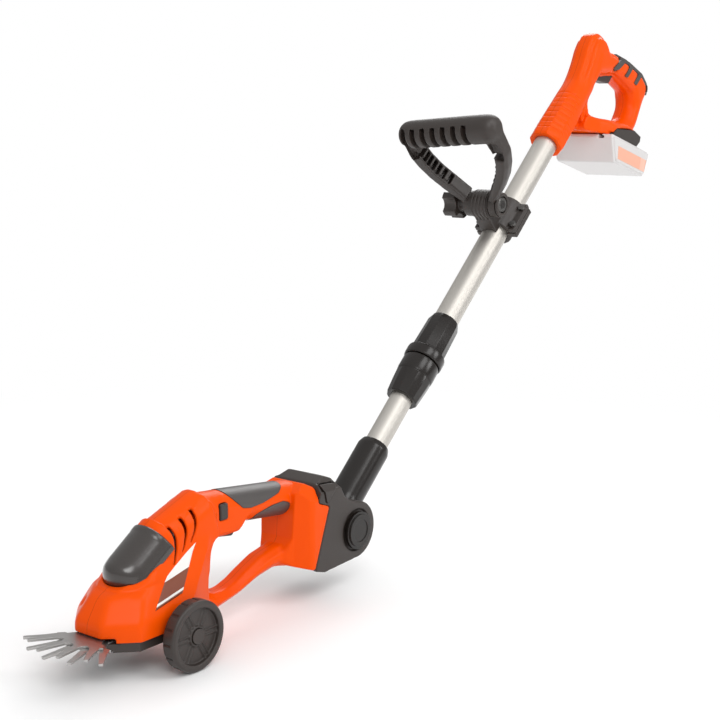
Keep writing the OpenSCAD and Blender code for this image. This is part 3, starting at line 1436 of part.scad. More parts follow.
module rear_shell() {
  on_rear() difference() {
    union() {
      rear_loop_form(0);
      intersection() {
        soft_slab(sized(foot_shares, rear_size), 2 * wall, foot_w / 2, 1.5 * wall);
        translate([0, 0, -rear_h]) linear_extrude(height = 2 * rear_h)
          polygon(rounded(paired(sized(foot_plan_shares, [rear_l, foot_w])), 4 * wall));
      }
      difference() {
        off_rear() column_form();
        slab(rounded(rear_gap_pts, 3 * wall), nose_w);
      }
    }
    off_rear() {
      translate([0, 0, -over]) cylinder(d = up_tube_d + 2 * fit, h = handle_start + tube_in + 2 * over);
      for (k = [0 : tongue_ribs - 1]) translate([0, 0, handle_start + (0.085 + 0.045 * k) * tongue_l])
        difference() {
        cylinder(r = tongue_t, h = wall / 2);
        translate([0, 0, -over]) cylinder(r = (0.685 - 0.008 * k) * tongue_t, h = over + wall);
      }
    }
    difference() {
      slab(sized(rear_hollow_shares, rear_size), rear_grip_w / 2 - wall - pad_t / 2);
      both_sides() for (k = [0.2, 0.8])
        translate([rear_switch_shares.x * rear_l + k * switch_l, switch_w / 2, rear_switch_shares.y * rear_h])
          cube([wall / 2, rear_grip_w, switch_h]);
    }
    rear_trigger_zone(play, trigger_lift);
    rear_lock_zone(play);
    dock_zone(play, nose_w);
    translate([-rear_l * 0.16, -foot_w, -reach]) cube([rear_l * 0.80, 2 * foot_w, reach]);
    rear_pad_cut(pad_t);
    screw_seats(rear_screw_shares, rear_size, rear_screw_deep);
  }
}
// From the rear handle frame back to the pole frame
module off_rear() {
  rotate([0, 90 - rear_lean, 0]) translate([-rear_drop, 0, -handle_start - rear_off]) children();
}
module rear_shell_left() {
  on_wheels() color("orangered") near_side() rear_shell();
}
module rear_shell_right() {
  on_wheels() color("orangered") far_side() rear_shell();
}
module rear_grip_pad() {
  on_wheels() color([0.2, 0.2, 0.21]) on_rear() difference() {
    intersection() {
      rear_pad_cut(pad_t - seat / 2);
      rear_loop_form(-pad_t / 4);
    }
    screw_seats(rear_screw_shares, rear_size, rear_screw_deep);
  }
}
module rear_trigger() {
  on_wheels() color([0.12, 0.12, 0.13]) on_rear()
    soft_slab(sized(rear_trigger_shares, rear_size), wall, trigger_w / 2, wall / 3);
}
module rear_lock_off() {
  on_wheels() color([0.12, 0.12, 0.13]) on_rear()
    translate([rear_lock_shares.x * rear_l, -rear_lock_w / 2, rear_lock_shares.y * rear_h])
    cube([rear_lock_l, rear_lock_w, rear_lock_h]);
}
module rear_switch() {
  on_wheels() color([0.12, 0.12, 0.12]) on_rear()
    translate([rear_switch_shares.x * rear_l, -switch_w / 2, rear_switch_shares.y * rear_h])
    difference() {
    cube([switch_l, switch_w, switch_h]);
    for (k = [0.3, 0.7]) translate([k * switch_l, -over, switch_h / 2])
      rod_y(screw_d, 0, switch_w + 2 * over);
  }
}
module rear_dock() {
  on_wheels() color([0.13, 0.13, 0.14]) on_rear() {
    dock_zone(0, foot_w / 2 + play);
    battery_rail(0);
  }
}
// Rail under the rear dock, running along the battery
module battery_rail(grow) {
  x0 = rear_l * 0.04 - grow;
  x1 = rear_l * 0.50 + grow;
  both_sides() {
    translate([x0, rail_in - grow, -rail_t - grow])
      cube([x1 - x0, rail_w + 2 * grow, rail_t + 2 * grow + over]);
    translate([x0, rail_in - grow, -rail_t - grow])
      cube([x1 - x0, rail_w + rail_lip + 2 * grow, rail_t / 2 + 2 * grow]);
  }
}
module rear_screws() {
  on_wheels() color("silver") on_rear() for (s = rear_screw_shares)
    translate([s.x * rear_l, 0, s.y * rear_h]) difference() {
    union() {
      rod_y(screw_d, -rear_screw_deep, screw_seat_y);
      rod_y(screw_head_d, screw_seat_y, screw_seat_y + screw_head_t);
    }
    translate([-screw_d / 2, screw_seat_y + screw_head_t / 2, -screw_d / 12])
      cube([screw_d, screw_head_t, screw_d / 6]);
  }
}

// Battery pack, in the rear handle frame
battery_gap = 0.5;
battery_shares = [
  [-0.098, -0.017], [-0.098, -0.15], [0.049, -1], [0.848, -1], [0.902, -0.2], [0.902, -0.017]
];
cells_shares = [[-0.02, -0.265], [0.045, -0.915], [0.815, -0.915], [0.862, -0.265]];
hump_shares = [[0.777, -0.03], [0.902, -0.03], [0.893, 0.2], [0.850, 0.3], [0.777, 0.3]];
label_zone_shares = [[0.055, -0.37], [0.840, -0.37], [0.815, -0.83], [0.085, -0.83]];
battery_l = battery_share * rear_l;
battery_size = [battery_l, battery_t];
lid_share = 0.3;
hump_w = 30;
latch_w = 20;
latch_h = 9;
latch_deep = 5;
latch_press = 2.5;
cell_l = 65;
cell_start_share = 0.02;
cell_room_share = 0.82;
cell_count = floor(cell_room_share * battery_l / (1.03 * cell_d));
module battery_body() {
  difference() {
    union() {
      soft_slab(sized(battery_shares, battery_size), wall, battery_w / 2, 0.8 * wall);
      slab(sized(hump_shares, battery_size), hump_w / 2);
    }
    slab(sized(cells_shares, battery_size), battery_w / 2 - wall);
    both_sides() {
      translate([-reach, rail_in - play, -rail_t - play])
        cube([reach + rear_l * 0.50 + play, rail_w + 2 * play, rail_t + 2 * over]);
      translate([-reach, rail_in - play, -rail_t - play])
        cube([reach + rear_l * 0.50 + play, rail_w + rail_lip + 2 * play, rail_t / 2 + 2 * play]);
    }
    latch_zone(play, latch_press);
  }
}
module battery_case() {
  on_wheels() color([0.8, 0.8, 0.8]) on_rear() intersection() {
    battery_body();
    translate([-reach, -reach, -2 * reach - lid_share * battery_t]) cube(2 * reach);
  }
}
module battery_lid() {
  on_wheels() color([0.3, 0.3, 0.31]) on_rear() intersection() {
    battery_body();
    translate([-reach, -reach, -lid_share * battery_t]) cube(2 * reach);
  }
}
module latch_zone(grow, deep) {
  translate([0.912 * battery_l - latch_deep - deep - grow, -latch_w / 2 - grow, -latch_h * 0.25 - grow])
    cube([latch_deep + deep + 2 * grow, latch_w + 2 * grow, latch_h + 2 * grow]);
}
module battery_button() {
  on_wheels() color("orangered") on_rear() latch_zone(0, 0);
}
module battery_cells() {
  on_wheels() color([0.3, 0.45, 0.35]) on_rear() for (k = [0 : cell_count - 1])
    translate([cell_start_share * battery_l + (k * 1.03 + 0.5) * cell_d, 0, -0.593 * battery_t])
      rod_y(cell_d - play, -cell_l / 2, cell_l / 2);
}
module battery_label() {
  on_wheels() color([0.93, 0.75, 0.66]) on_rear() translate([0, -battery_w / 2 - label_t / 2, 0])
    slab(sized(label_zone_shares, battery_size), label_t / 2);
}

head_shell_left();
head_shell_right();
nose_window();
head_grip_top();
head_grip_under();
side_label();
head_base();
gear_plate();
motor_can();
motor_rotor();
crank_gear();
crank_post();
lower_blade();
upper_blade();
blade_pivot();
blade_screws();
head_switch();
head_terminals();
head_trigger();
head_lock_off();
head_screws();
base_screws();
wheel_bracket();
wheel_axle();
axle_caps();
wheel_left();
wheel_right();
adapter_left();
adapter_right();
adapter_screws();
release_button_left();
release_button_right();
pivot_bolt();
pivot_button();
pivot_socket();
lower_tube();
lock_nut();
collar_sleeve();
upper_tube();
loop_handle();
click_discs();
loop_bolt();
wing_knob();
clamp_front();
clamp_rear();
clamp_screws();
rear_shell_left();
rear_shell_right();
rear_grip_pad();
rear_trigger();
rear_lock_off();
rear_switch();
rear_dock();
rear_screws();
battery_case();
battery_lid();
battery_button();
battery_cells();
battery_label();
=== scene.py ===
import math
import bmesh
import bpy
import numpy as np
from mathutils import Matrix, Vector
from mathutils.bvhtree import BVHTree


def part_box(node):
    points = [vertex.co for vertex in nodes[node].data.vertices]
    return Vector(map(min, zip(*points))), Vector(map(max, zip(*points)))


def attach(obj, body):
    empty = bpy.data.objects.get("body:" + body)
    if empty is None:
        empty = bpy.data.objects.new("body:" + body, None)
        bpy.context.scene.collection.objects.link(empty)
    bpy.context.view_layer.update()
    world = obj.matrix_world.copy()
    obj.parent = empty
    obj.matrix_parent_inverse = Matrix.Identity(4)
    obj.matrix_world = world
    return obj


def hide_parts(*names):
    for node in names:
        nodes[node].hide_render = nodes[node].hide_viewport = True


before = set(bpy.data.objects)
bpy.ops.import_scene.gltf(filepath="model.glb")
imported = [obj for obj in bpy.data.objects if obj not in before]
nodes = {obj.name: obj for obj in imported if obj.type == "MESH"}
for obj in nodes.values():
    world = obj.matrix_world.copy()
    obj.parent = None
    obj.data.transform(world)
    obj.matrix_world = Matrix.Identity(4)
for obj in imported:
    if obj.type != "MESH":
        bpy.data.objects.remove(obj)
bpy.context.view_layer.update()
scene = bpy.context.scene
print("frame loaded:", len(nodes), "nodes")

# the pole: its tilt pin, its own direction upwards, and the direction square to it
poleFrame = {"pin": (0.2237, 0.0, 0.05475), "along": (0.738, 0.0, 0.674), "above": (-0.674, 0.0, 0.738)}
loopHinge = (0.47198, 0.33156)    # x and z of the loop handle's bolt


# shared node helpers

def addNode(tree, kind, x=0, y=0, **values):
    item = tree.nodes.new(kind)
    item.location = (x, y)
    for key, value in values.items():
        setattr(item, key, value)
    return item


def wire(start, end):
    start.id_data.links.new(start, end)


# sockets of a group that aren't plain numbers
socketKinds = {"Colour": "NodeSocketColor", "Along": "NodeSocketVector", "Normal": "NodeSocketVector"}


def startGroup(name, takes, gives):
    group = bpy.data.node_groups.new(name, "ShaderNodeTree")
    for label, start in takes.items():
        kind = socketKinds.get(label, "NodeSocketFloat")
        group.interface.new_socket(label, in_out="INPUT", socket_type=kind).default_value = start
    for label in gives:
        kind = socketKinds.get(label, "NodeSocketFloat")
        group.interface.new_socket(label, in_out="OUTPUT", socket_type=kind)
    return group, addNode(group, "NodeGroupInput", -900), addNode(group, "NodeGroupOutput", 900)


def mathNode(tree, operation, first, second, x, y):
    item = addNode(tree, "ShaderNodeMath", x, y, operation=operation)
    for index, value in enumerate((first, second)):
        if isinstance(value, (int, float)):
            item.inputs[index].default_value = value
        elif value is not None:
            wire(value, item.inputs[index])
    return item.outputs[0]


def vectorNode(tree, operation, first, second, x, y):
    item = addNode(tree, "ShaderNodeVectorMath", x, y, operation=operation)
    wire(first, item.inputs[0])
    socket = item.inputs["Scale" if operation == "SCALE" else 1]
    if isinstance(second, tuple):
        socket.default_value = second
    else:
        wire(second, socket)
    return item.outputs["Value" if operation in ("DOT_PRODUCT", "DISTANCE") else "Vector"]


def rangeNode(tree, value, start, end, x, y):
    item = addNode(tree, "ShaderNodeMapRange", x, y)
    item.inputs["From Min"].default_value = start
    item.inputs["From Max"].default_value = end
    wire(value, item.inputs["Value"])
    return item


# colour and roughness that swing with one noise value
def swingInto(group, taken, given, swing, x):
    tone = mathNode(group, "MULTIPLY", swing, taken.outputs["Tone Swing"], x, -100)
    tone = mathNode(group, "ADD", tone, 1.0, x + 160, -100)
    shade = vectorNode(group, "SCALE", taken.outputs["Colour"], tone, x + 320, 100)
    wire(shade, given.inputs["Colour"])
    gloss = mathNode(group, "MULTIPLY", swing, taken.outputs["Gloss Swing"], x, -400)
    rough = mathNode(group, "ADD", gloss, taken.outputs["Roughness"], x + 160, -400)
    wire(rough, given.inputs["Roughness"])


# spark-eroded mould texture: fine grain, slow tone drift and gloss drift
grainForm = {"grainDetail": 3.0, "driftDetail": 4.0, "speck": 0.45}


def buildMouldGrain():
    group, taken, given = startGroup(
        "mouldGrain", {"Grain Scale": 2200.0, "Drift Scale": 14.0, "Colour": (0.5, 0.5, 0.5, 1),
                       "Tone Swing": 0.06, "Roughness": 0.4, "Gloss Swing": 0.05},
        ("Colour", "Roughness", "Height"))
    place = addNode(group, "ShaderNodeTexCoord", -900, -300)
    grain = addNode(group, "ShaderNodeTexNoise", -650, 0)
    grain.inputs["Detail"].default_value = grainForm["grainDetail"]
    drift = addNode(group, "ShaderNodeTexNoise", -650, -300)
    drift.inputs["Detail"].default_value = grainForm["driftDetail"]
    for item, label in ((grain, "Grain Scale"), (drift, "Drift Scale")):
        wire(place.outputs["Object"], item.inputs["Vector"])
        wire(taken.outputs[label], item.inputs["Scale"])
    centred = mathNode(group, "SUBTRACT", drift.outputs[0], 0.5, -420, -300)
    speck = mathNode(group, "SUBTRACT", grain.outputs[0], 0.5, -420, 0)
    speck = mathNode(group, "MULTIPLY", speck, grainForm["speck"], -250, 0)
    swingInto(group, taken, given, mathNode(group, "ADD", centred, speck, -80, -200), 100)
    wire(grain.outputs[0], given.inputs["Height"])
    return group


# rubbed, paler edges where hands and grass wear the sharp corners
rubForm = {"samples": 6, "flat": 0.99, "sharp": 0.80, "patches": 160.0}


def buildEdgeRub():
    group, taken, given = startGroup("edgeRub", {"Width": 0.0009, "Strength": 0.5}, ("Mask", "Normal"))
    soft = addNode(group, "ShaderNodeBevel", -600, 0, samples=rubForm["samples"])
    wire(taken.outputs["Width"], soft.inputs["Radius"])
    sharp = addNode(group, "ShaderNodeNewGeometry", -600, -250)
    facing = vectorNode(group, "DOT_PRODUCT", soft.outputs[0], sharp.outputs["Normal"], -350, 0)
    turned = rangeNode(group, facing, rubForm["flat"], rubForm["sharp"], -150, 0)
    patchy = addNode(group, "ShaderNodeTexNoise", -350, -450)
    patchy.inputs["Scale"].default_value = rubForm["patches"]
    place = addNode(group, "ShaderNodeTexCoord", -600, -450)
    wire(place.outputs["Object"], patchy.inputs["Vector"])
    worn = mathNode(group, "MULTIPLY", turned.outputs[0], patchy.outputs[0], 50, 0)
    worn = mathNode(group, "MULTIPLY", worn, taken.outputs["Strength"], 220, 0)
    wire(worn, given.inputs["Mask"])
    wire(soft.outputs[0], given.inputs["Normal"])
    return group


# long streaks along one direction: drawn tube, ground steel
streakForm = {"scale": 1.0, "detail": 3.0}


def buildDrawnStreak():
    group, taken, given = startGroup(
        "drawnStreak", {"Along": (1, 0, 0), "Across Scale": 2600.0, "Along Scale": 26.0,
                        "Colour": (0.8, 0.8, 0.8, 1), "Tone Swing": 0.2, "Roughness": 0.3, "Gloss Swing": 0.15},
        ("Colour", "Roughness", "Height"))
    place = addNode(group, "ShaderNodeTexCoord", -900, -300).outputs["Object"]
    along = taken.outputs["Along"]
    run = vectorNode(group, "DOT_PRODUCT", place, along, -700, -200)
    onLine = vectorNode(group, "SCALE", along, run, -520, -200)
    off = vectorNode(group, "SUBTRACT", place, onLine, -340, -300)
    wide = vectorNode(group, "SCALE", off, taken.outputs["Across Scale"], -170, -300)
    slow = vectorNode(group, "SCALE", onLine, taken.outputs["Along Scale"], -170, -120)
    streak = addNode(group, "ShaderNodeTexNoise", 160, -200)
    streak.inputs["Scale"].default_value = streakForm["scale"]
    streak.inputs["Detail"].default_value = streakForm["detail"]
    wire(vectorNode(group, "ADD", wide, slow, 0, -200), streak.inputs["Vector"])
    swingInto(group, taken, given, mathNode(group, "SUBTRACT", streak.outputs[0], 0.5, 320, -200), 480)
    wire(streak.outputs[0], given.inputs["Height"])
    return group


# parting line of two moulded halves, on the object's middle plane; it fades between these half widths
lineForm = {"outside": 1.6, "inside": 0.6}


def buildPartingLine():
    group, taken, given = startGroup("partingLine", {"Half Width": 0.00016}, ("Mask",))
    place = addNode(group, "ShaderNodeTexCoord", -700, 0)
    split = addNode(group, "ShaderNodeSeparateXYZ", -500, 0)
    wire(place.outputs["Object"], split.inputs[0])
    off = mathNode(group, "ABSOLUTE", split.outputs["Y"], None, -320, 0)
    ratio = mathNode(group, "DIVIDE", off, taken.outputs["Half Width"], -150, 0)
    fall = rangeNode(group, ratio, lineForm["outside"], lineForm["inside"], 50, 0)
    wire(fall.outputs[0], given.inputs["Mask"])
    return group


mouldGrain = buildMouldGrain()
edgeRub = buildEdgeRub()
drawnStreak = buildDrawnStreak()
partingLine = buildPartingLine()


def placeGroup(tree, group, x, y, **values):
    item = addNode(tree, "ShaderNodeGroup", x, y)
    item.node_tree = group
    for label, value in values.items():
        item.inputs[label.replace("_", " ")].default_value = value
    return item


def grainNode(tree, look, x, y):
    item = placeGroup(tree, mouldGrain, x, y, Tone_Swing=look["tone"], Roughness=look["rough"],
                      Gloss_Swing=look["gloss"], Grain_Scale=look["grain"])
    if "colour" in look:
        item.inputs["Colour"].default_value = (*look["colour"], 1)
    if "drift" in look:
        item.inputs["Drift Scale"].default_value = look["drift"]
    return item


def startMaterial(name):
    material = bpy.data.materials.new(name)
    material.use_nodes = True
    tree = material.node_tree
    return material, tree, tree.nodes["Principled BSDF"]


def dressShader(shader, group, colour):
    wire(colour, shader.inputs["Base Color"])
    wire(group.outputs["Roughness"], shader.inputs["Roughness"])


bumpDepth = {"moulded": 0.0001, "metal": 0.00005}


def bumpInto(tree, shader, height, strength, distance, normal=None):
    bump = addNode(tree, "ShaderNodeBump", -250, -350)
    bump.inputs["Strength"].default_value = strength
    bump.inputs["Distance"].default_value = distance
    wire(height, bump.inputs["Height"])
    if normal is not None:
        wire(normal, bump.inputs["Normal"])
    wire(bump.outputs[0], shader.inputs["Normal"])


def mixColour(tree, factor, under, over, x, y):
    mix = addNode(tree, "ShaderNodeMix", x, y, data_type="RGBA")
    mix.inputs[7].default_value = (*over, 1)    # colour B; colour A is input 6
    wire(factor, mix.inputs["Factor"])
    wire(under, mix.inputs[6])
    return mix.outputs[2]


# moulded plastics and rubbers: grain, drift, rubbed edges, and, where the look has a seam, a parting line
# grooved by a bump and darkened with painted shade
def mouldedFinish(name, look):
    material, tree, shader = startMaterial(name)
    grain = grainNode(tree, look, -750, 100)
    rub = placeGroup(tree, edgeRub, -750, -300, Width=look["edge"], Strength=look["rub"])
    tinted = mixColour(tree, rub.outputs["Mask"], grain.outputs["Colour"], look["worn"], -400, 150)
    height = grain.outputs["Height"]
    if "seam" in look:
        line = placeGroup(tree, partingLine, -750, -600, Half_Width=look["seam"]).outputs["Mask"]
        # the seam is darkened towards seamShade times the colour: painted shade in the gap between the two
        # moulded halves
        shade = [look["seamShade"] * part for part in look["colour"]]
        inkAndShade = mathNode(tree, "MULTIPLY", line, look["seamShadeStrength"], -400, -100)
        tinted = mixColour(tree, inkAndShade, tinted, shade, -200, 250)
        groove = mathNode(tree, "MULTIPLY", line, look["seamDeep"], -500, -500)
        height = mathNode(tree, "SUBTRACT", height, groove, -400, -450)
    dressShader(shader, grain, tinted)
    shader.inputs["Specular IOR Level"].default_value = look["specular"]
    bumpInto(tree, shader, height, look["bump"], bumpDepth["moulded"], rub.outputs["Normal"])
    return material


def metalFinish(name, look):
    material, tree, shader = startMaterial(name)
    streak = placeGroup(tree, drawnStreak, -750, 100, Along=look["along"], Colour=(*look["colour"], 1),
                        Tone_Swing=look["tone"], Roughness=look["rough"], Gloss_Swing=look["gloss"],
                        Across_Scale=look["across"], Along_Scale=look["length"])
    rub = placeGroup(tree, edgeRub, -750, -300, Width=look["edge"], Strength=look["rub"])
    tinted = mixColour(tree, rub.outputs["Mask"], streak.outputs["Colour"], look["worn"], -400, 150)
    dressShader(shader, streak, tinted)
    shader.inputs["Metallic"].default_value = 1.0
    bumpInto(tree, shader, streak.outputs["Height"], look["bump"], bumpDepth["metal"], rub.outputs["Normal"])
    return material


# the seam keys give the parting line's painted shade (its darkening and strength) and its groove depth
orangeLook = {"colour": (0.82, 0.076, 0.0003), "worn": (0.94, 0.11, 0.008), "tone": 0.07, "rough": 0.30,
              "gloss": 0.10, "grain": 2600.0, "bump": 0.16, "edge": 0.0008, "rub": 0.25, "specular": 0.10,
              "seam": 0.00016, "seamShade": 0.35, "seamShadeStrength": 0.7, "seamDeep": 3.0}
orangeShell = mouldedFinish("orangeShell", orangeLook)

darkLook = {"colour": (0.0265, 0.0190, 0.0155), "worn": (0.060, 0.055, 0.052), "tone": 0.16, "rough": 0.46,
            "gloss": 0.14, "grain": 2300.0, "bump": 0.30, "edge": 0.0008, "rub": 0.45, "specular": 0.58}
darkPlastic = mouldedFinish("darkPlastic", darkLook)

glossLook = {"colour": (0.0105, 0.0080, 0.0066), "worn": (0.055, 0.048, 0.044), "tone": 0.14, "rough": 0.22,
             "gloss": 0.10, "grain": 1900.0, "bump": 0.08, "edge": 0.0006, "rub": 0.4, "specular": 0.40}
glossDark = mouldedFinish("glossDark", glossLook)

padLook = {"colour": (0.047, 0.040, 0.037), "worn": (0.085, 0.080, 0.076), "tone": 0.20, "rough": 0.44,
           "gloss": 0.12, "grain": 1500.0, "bump": 0.30, "edge": 0.0010, "rub": 0.4, "specular": 0.80}
softPad = mouldedFinish("softPad", padLook)

nylonLook = {"colour": (0.78, 0.76, 0.70), "worn": (0.85, 0.84, 0.80), "tone": 0.06, "rough": 0.42,
             "gloss": 0.08, "grain": 1800.0, "bump": 0.2, "edge": 0.0006, "rub": 0.3, "specular": 0.5}
gearNylon = mouldedFinish("gearNylon", nylonLook)

paleLook = {"colour": (0.62, 0.605, 0.60), "worn": (0.72, 0.71, 0.70), "tone": 0.06, "rough": 0.44,
            "gloss": 0.08, "grain": 2300.0, "bump": 0.22, "edge": 0.0008, "rub": 0.35, "specular": 0.5}
paleCase = mouldedFinish("paleCase", paleLook)

wrapLook = {"colour": (0.10, 0.22, 0.46), "worn": (0.2, 0.3, 0.5), "tone": 0.08, "rough": 0.30,
            "gloss": 0.06, "grain": 900.0, "bump": 0.08, "edge": 0.0006, "rub": 0.2, "specular": 0.5}
cellWrap = mouldedFinish("cellWrap", wrapLook)

tubeLook = {"along": poleFrame["along"], "colour": (0.58, 0.555, 0.515), "worn": (0.70, 0.68, 0.66),
            "tone": 0.07, "rough": 0.50, "gloss": 0.06, "across": 900.0, "length": 10.0, "edge": 0.0005,
            "rub": 0.4, "bump": 0.03}
tubeAlu = metalFinish("tubeAlu", tubeLook)

bladeLook = {"along": (0.0, 1.0, 0.0), "colour": (0.46, 0.45, 0.44), "worn": (0.70, 0.70, 0.70),
             "tone": 0.22, "rough": 0.42, "gloss": 0.22, "across": 1700.0, "length": 40.0, "edge": 0.0004,
             "rub": 0.4, "bump": 0.3}
bladeSteel = metalFinish("bladeSteel", bladeLook)

screwLook = {"along": (0.0, 1.0, 0.0), "colour": (0.38, 0.37, 0.36), "worn": (0.62, 0.62, 0.62),
             "tone": 0.16, "rough": 0.32, "gloss": 0.18, "across": 2600.0, "length": 300.0, "edge": 0.0003,
             "rub": 0.4, "bump": 0.15}
fastenerSteel = metalFinish("fastenerSteel", screwLook)

dullLook = {"along": (0.0, 1.0, 0.0), "colour": (0.13, 0.125, 0.12), "worn": (0.34, 0.33, 0.32),
            "tone": 0.18, "rough": 0.38, "gloss": 0.18, "across": 2600.0, "length": 300.0, "edge": 0.0004,
            "rub": 0.4, "bump": 0.15}
dullSteel = metalFinish("dullSteel", dullLook)

motorLook = {"along": (0.0, 0.0, 1.0), "colour": (0.44, 0.44, 0.45), "worn": (0.62, 0.62, 0.62),
             "tone": 0.14, "rough": 0.36, "gloss": 0.18, "across": 1500.0, "length": 40.0, "edge": 0.0005,
             "rub": 0.4, "bump": 0.2}
motorSteel = metalFinish("motorSteel", motorLook)


# smoked window: near-black, smooth, under a clear coat
windowLook = {"colour": (0.020, 0.014, 0.011), "tone": 0.3, "rough": 0.26, "gloss": 0.06, "grain": 700.0,
              "drift": 30.0, "bump": 0.03, "coat": 0.8, "coatRough": 0.20}


def windowFinish():
    material, tree, shader = startMaterial("darkWindow")
    grain = grainNode(tree, windowLook, -600, 100)
    dressShader(shader, grain, grain.outputs["Colour"])
    shader.inputs["Coat Weight"].default_value = windowLook["coat"]
    shader.inputs["Coat Roughness"].default_value = windowLook["coatRough"]
    bumpInto(tree, shader, grain.outputs["Height"], windowLook["bump"], bumpDepth["moulded"])
    return material


darkWindow = windowFinish()


# blank printed labels: plain bands of ink across one direction
labelGrain = {"tone": 0.05, "gloss": 0.06, "grain": 1200.0, "bump": 0.05}


def labelFinish(name, look):
    material, tree, shader = startMaterial(name)
    place = addNode(tree, "ShaderNodeTexCoord", -1200, 0).outputs["Object"]
    lean = vectorNode(tree, "DOT_PRODUCT", place, look["lean"], -1000, 0)
    step = rangeNode(tree, lean, look["start"], look["end"], -820, 0)
    bands = addNode(tree, "ShaderNodeValToRGB", -640, 0)
    bands.color_ramp.interpolation = "CONSTANT"
    while len(bands.color_ramp.elements) < len(look["bands"]):
        bands.color_ramp.elements.new(0.5)
    for stop, (level, inkAndShade) in zip(bands.color_ramp.elements, look["bands"]):
        stop.position = (level - look["start"]) / (look["end"] - look["start"])
        stop.color = (*look[inkAndShade], 1)
    wire(step.outputs[0], bands.inputs[0])
    grain = grainNode(tree, {**labelGrain, **look}, -300, 0)
    wire(bands.outputs[0], grain.inputs["Colour"])
    dressShader(shader, grain, grain.outputs["Colour"])
    bumpInto(tree, shader, grain.outputs["Height"], labelGrain["bump"], bumpDepth["moulded"])
    return material


sideLabelLook = {"lean": (-0.168, 0.0, 0.986), "start": 0.0540, "end": 0.0860, "rough": 0.32,
                 "brown": (0.19, 0.040, 0.012), "white": (0.80, 0.78, 0.75),
                 "bands": [(0.0540, "brown"), (0.0576, "white"), (0.0592, "brown"), (0.0695, "white")]}
sideLabelPrint = labelFinish("sideLabelPrint", sideLabelLook)
packLabelLook = {"lean": (0.970, 0.0, -0.242), "start": 0.55, "end": 0.70, "rough": 0.38,
                 "plain": (0.80, 0.40, 0.28), "pale": (0.84, 0.48, 0.37),
                 "bands": [(0.55, "plain"), (0.628, "pale"), (0.640, "plain")]}
packLabelPrint = labelFinish("packLabelPrint", packLabelLook)
print("finishes made")


# dress every node

finishOf = {
    orangeShell: ["head_shell_left", "head_shell_right", "rear_shell_left", "rear_shell_right"],
    darkPlastic: ["head_base", "gear_plate", "head_switch", "head_trigger", "head_lock_off",
                  "wheel_bracket", "axle_caps", "wheel_left", "wheel_right", "adapter_left", "adapter_right",
                  "release_button_left", "release_button_right", "loop_handle", "click_discs", "wing_knob",
                  "clamp_front", "clamp_rear", "rear_switch", "rear_dock", "rear_trigger", "rear_lock_off",
                  "battery_button"],
    glossDark: ["pivot_button", "pivot_socket", "lock_nut", "collar_sleeve"],
    softPad: ["head_grip_top", "head_grip_under", "rear_grip_pad"],
    darkWindow: ["nose_window"],
    bladeSteel: ["lower_blade", "upper_blade"],
    fastenerSteel: ["blade_pivot", "blade_screws", "head_screws", "base_screws", "wheel_axle",
                    "adapter_screws", "rear_screws", "crank_post", "head_terminals"],
    dullSteel: ["pivot_bolt", "loop_bolt", "clamp_screws"],
    tubeAlu: ["lower_tube", "upper_tube"],
    motorSteel: ["motor_can", "motor_rotor"],
    gearNylon: ["crank_gear"],
    paleCase: ["battery_case", "battery_lid"],
    cellWrap: ["battery_cells"],
    sideLabelPrint: ["side_label"],
    packLabelPrint: ["battery_label"],
}
for finish, names in finishOf.items():
    for name in names:
        nodes[name].data.materials.clear()
        nodes[name].data.materials.append(finish)
undressed = set(nodes) - {name for names in finishOf.values() for name in names}
print("nodes dressed, left over:", sorted(undressed))


# shared mesh helpers

def readPoints(mesh, kind="co"):
    co = np.empty(len(mesh.vertices) * 3)
    mesh.vertices.foreach_get(kind, co)
    return co.reshape(-1, 3)


def joinNodes(names):
    points, faces, base = [], [], 0
    for name in names:
        mesh = nodes[name].data
        matrix = np.array(nodes[name].matrix_world)
        co = readPoints(mesh) @ matrix[:3, :3].T + matrix[:3, 3]
        points.append(co)
        faces += [[base + i for i in face.vertices] for face in mesh.polygons]
        base += len(co)
    mesh = bpy.data.meshes.new("joined")
    mesh.from_pydata(np.vstack(points).tolist(), [], faces)
    return mesh


def closedMesh(name, points, faces):
    build = bmesh.new()
    corners = [build.verts.new(point) for point in points]
    for face in faces:
        build.faces.new([corners[k] for k in face])
    bmesh.ops.recalc_face_normals(build, faces=build.faces)
    mesh = bpy.data.meshes.new(name)
    build.to_mesh(mesh)
    build.free()
    return mesh


def changedMesh(mesh, name, label, kind, **values):
    holder = bpy.data.objects.new(name + "Raw", mesh)
    scene.collection.objects.link(holder)
    change = holder.modifiers.new(label, kind)
    for key, value in values.items():
        setattr(change, key, value)
    bpy.context.view_layer.update()
    graph = bpy.context.evaluated_depsgraph_get()
    made = bpy.data.meshes.new_from_object(holder.evaluated_get(graph), depsgraph=graph)
    bpy.data.objects.remove(holder)
    return made


def smoothStep(value, start, end):
    part = np.clip((value - start) / (end - start), 0, 1)
    return part * part * (3 - 2 * part)


def inBox(co, low, high, fade):
    weight = np.ones(len(co))
    for axis in range(3):
        place = co[:, axis]
        weight *= np.clip((place - low[axis]) / fade, 0, 1) * np.clip((high[axis] - place) / fade, 0, 1)
    return weight


def offNodes(co, names, margin):
    weight = np.ones(len(co))
    for name in names:
        low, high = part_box(name)
        weight *= 1 - inBox(co, [v - margin for v in low], [v + margin for v in high], margin)
    return weight


def onPole(co):
    offPin = co - np.array(poleFrame["pin"])
    return offPin @ np.array(poleFrame["along"]), offPin @ np.array(poleFrame["above"])


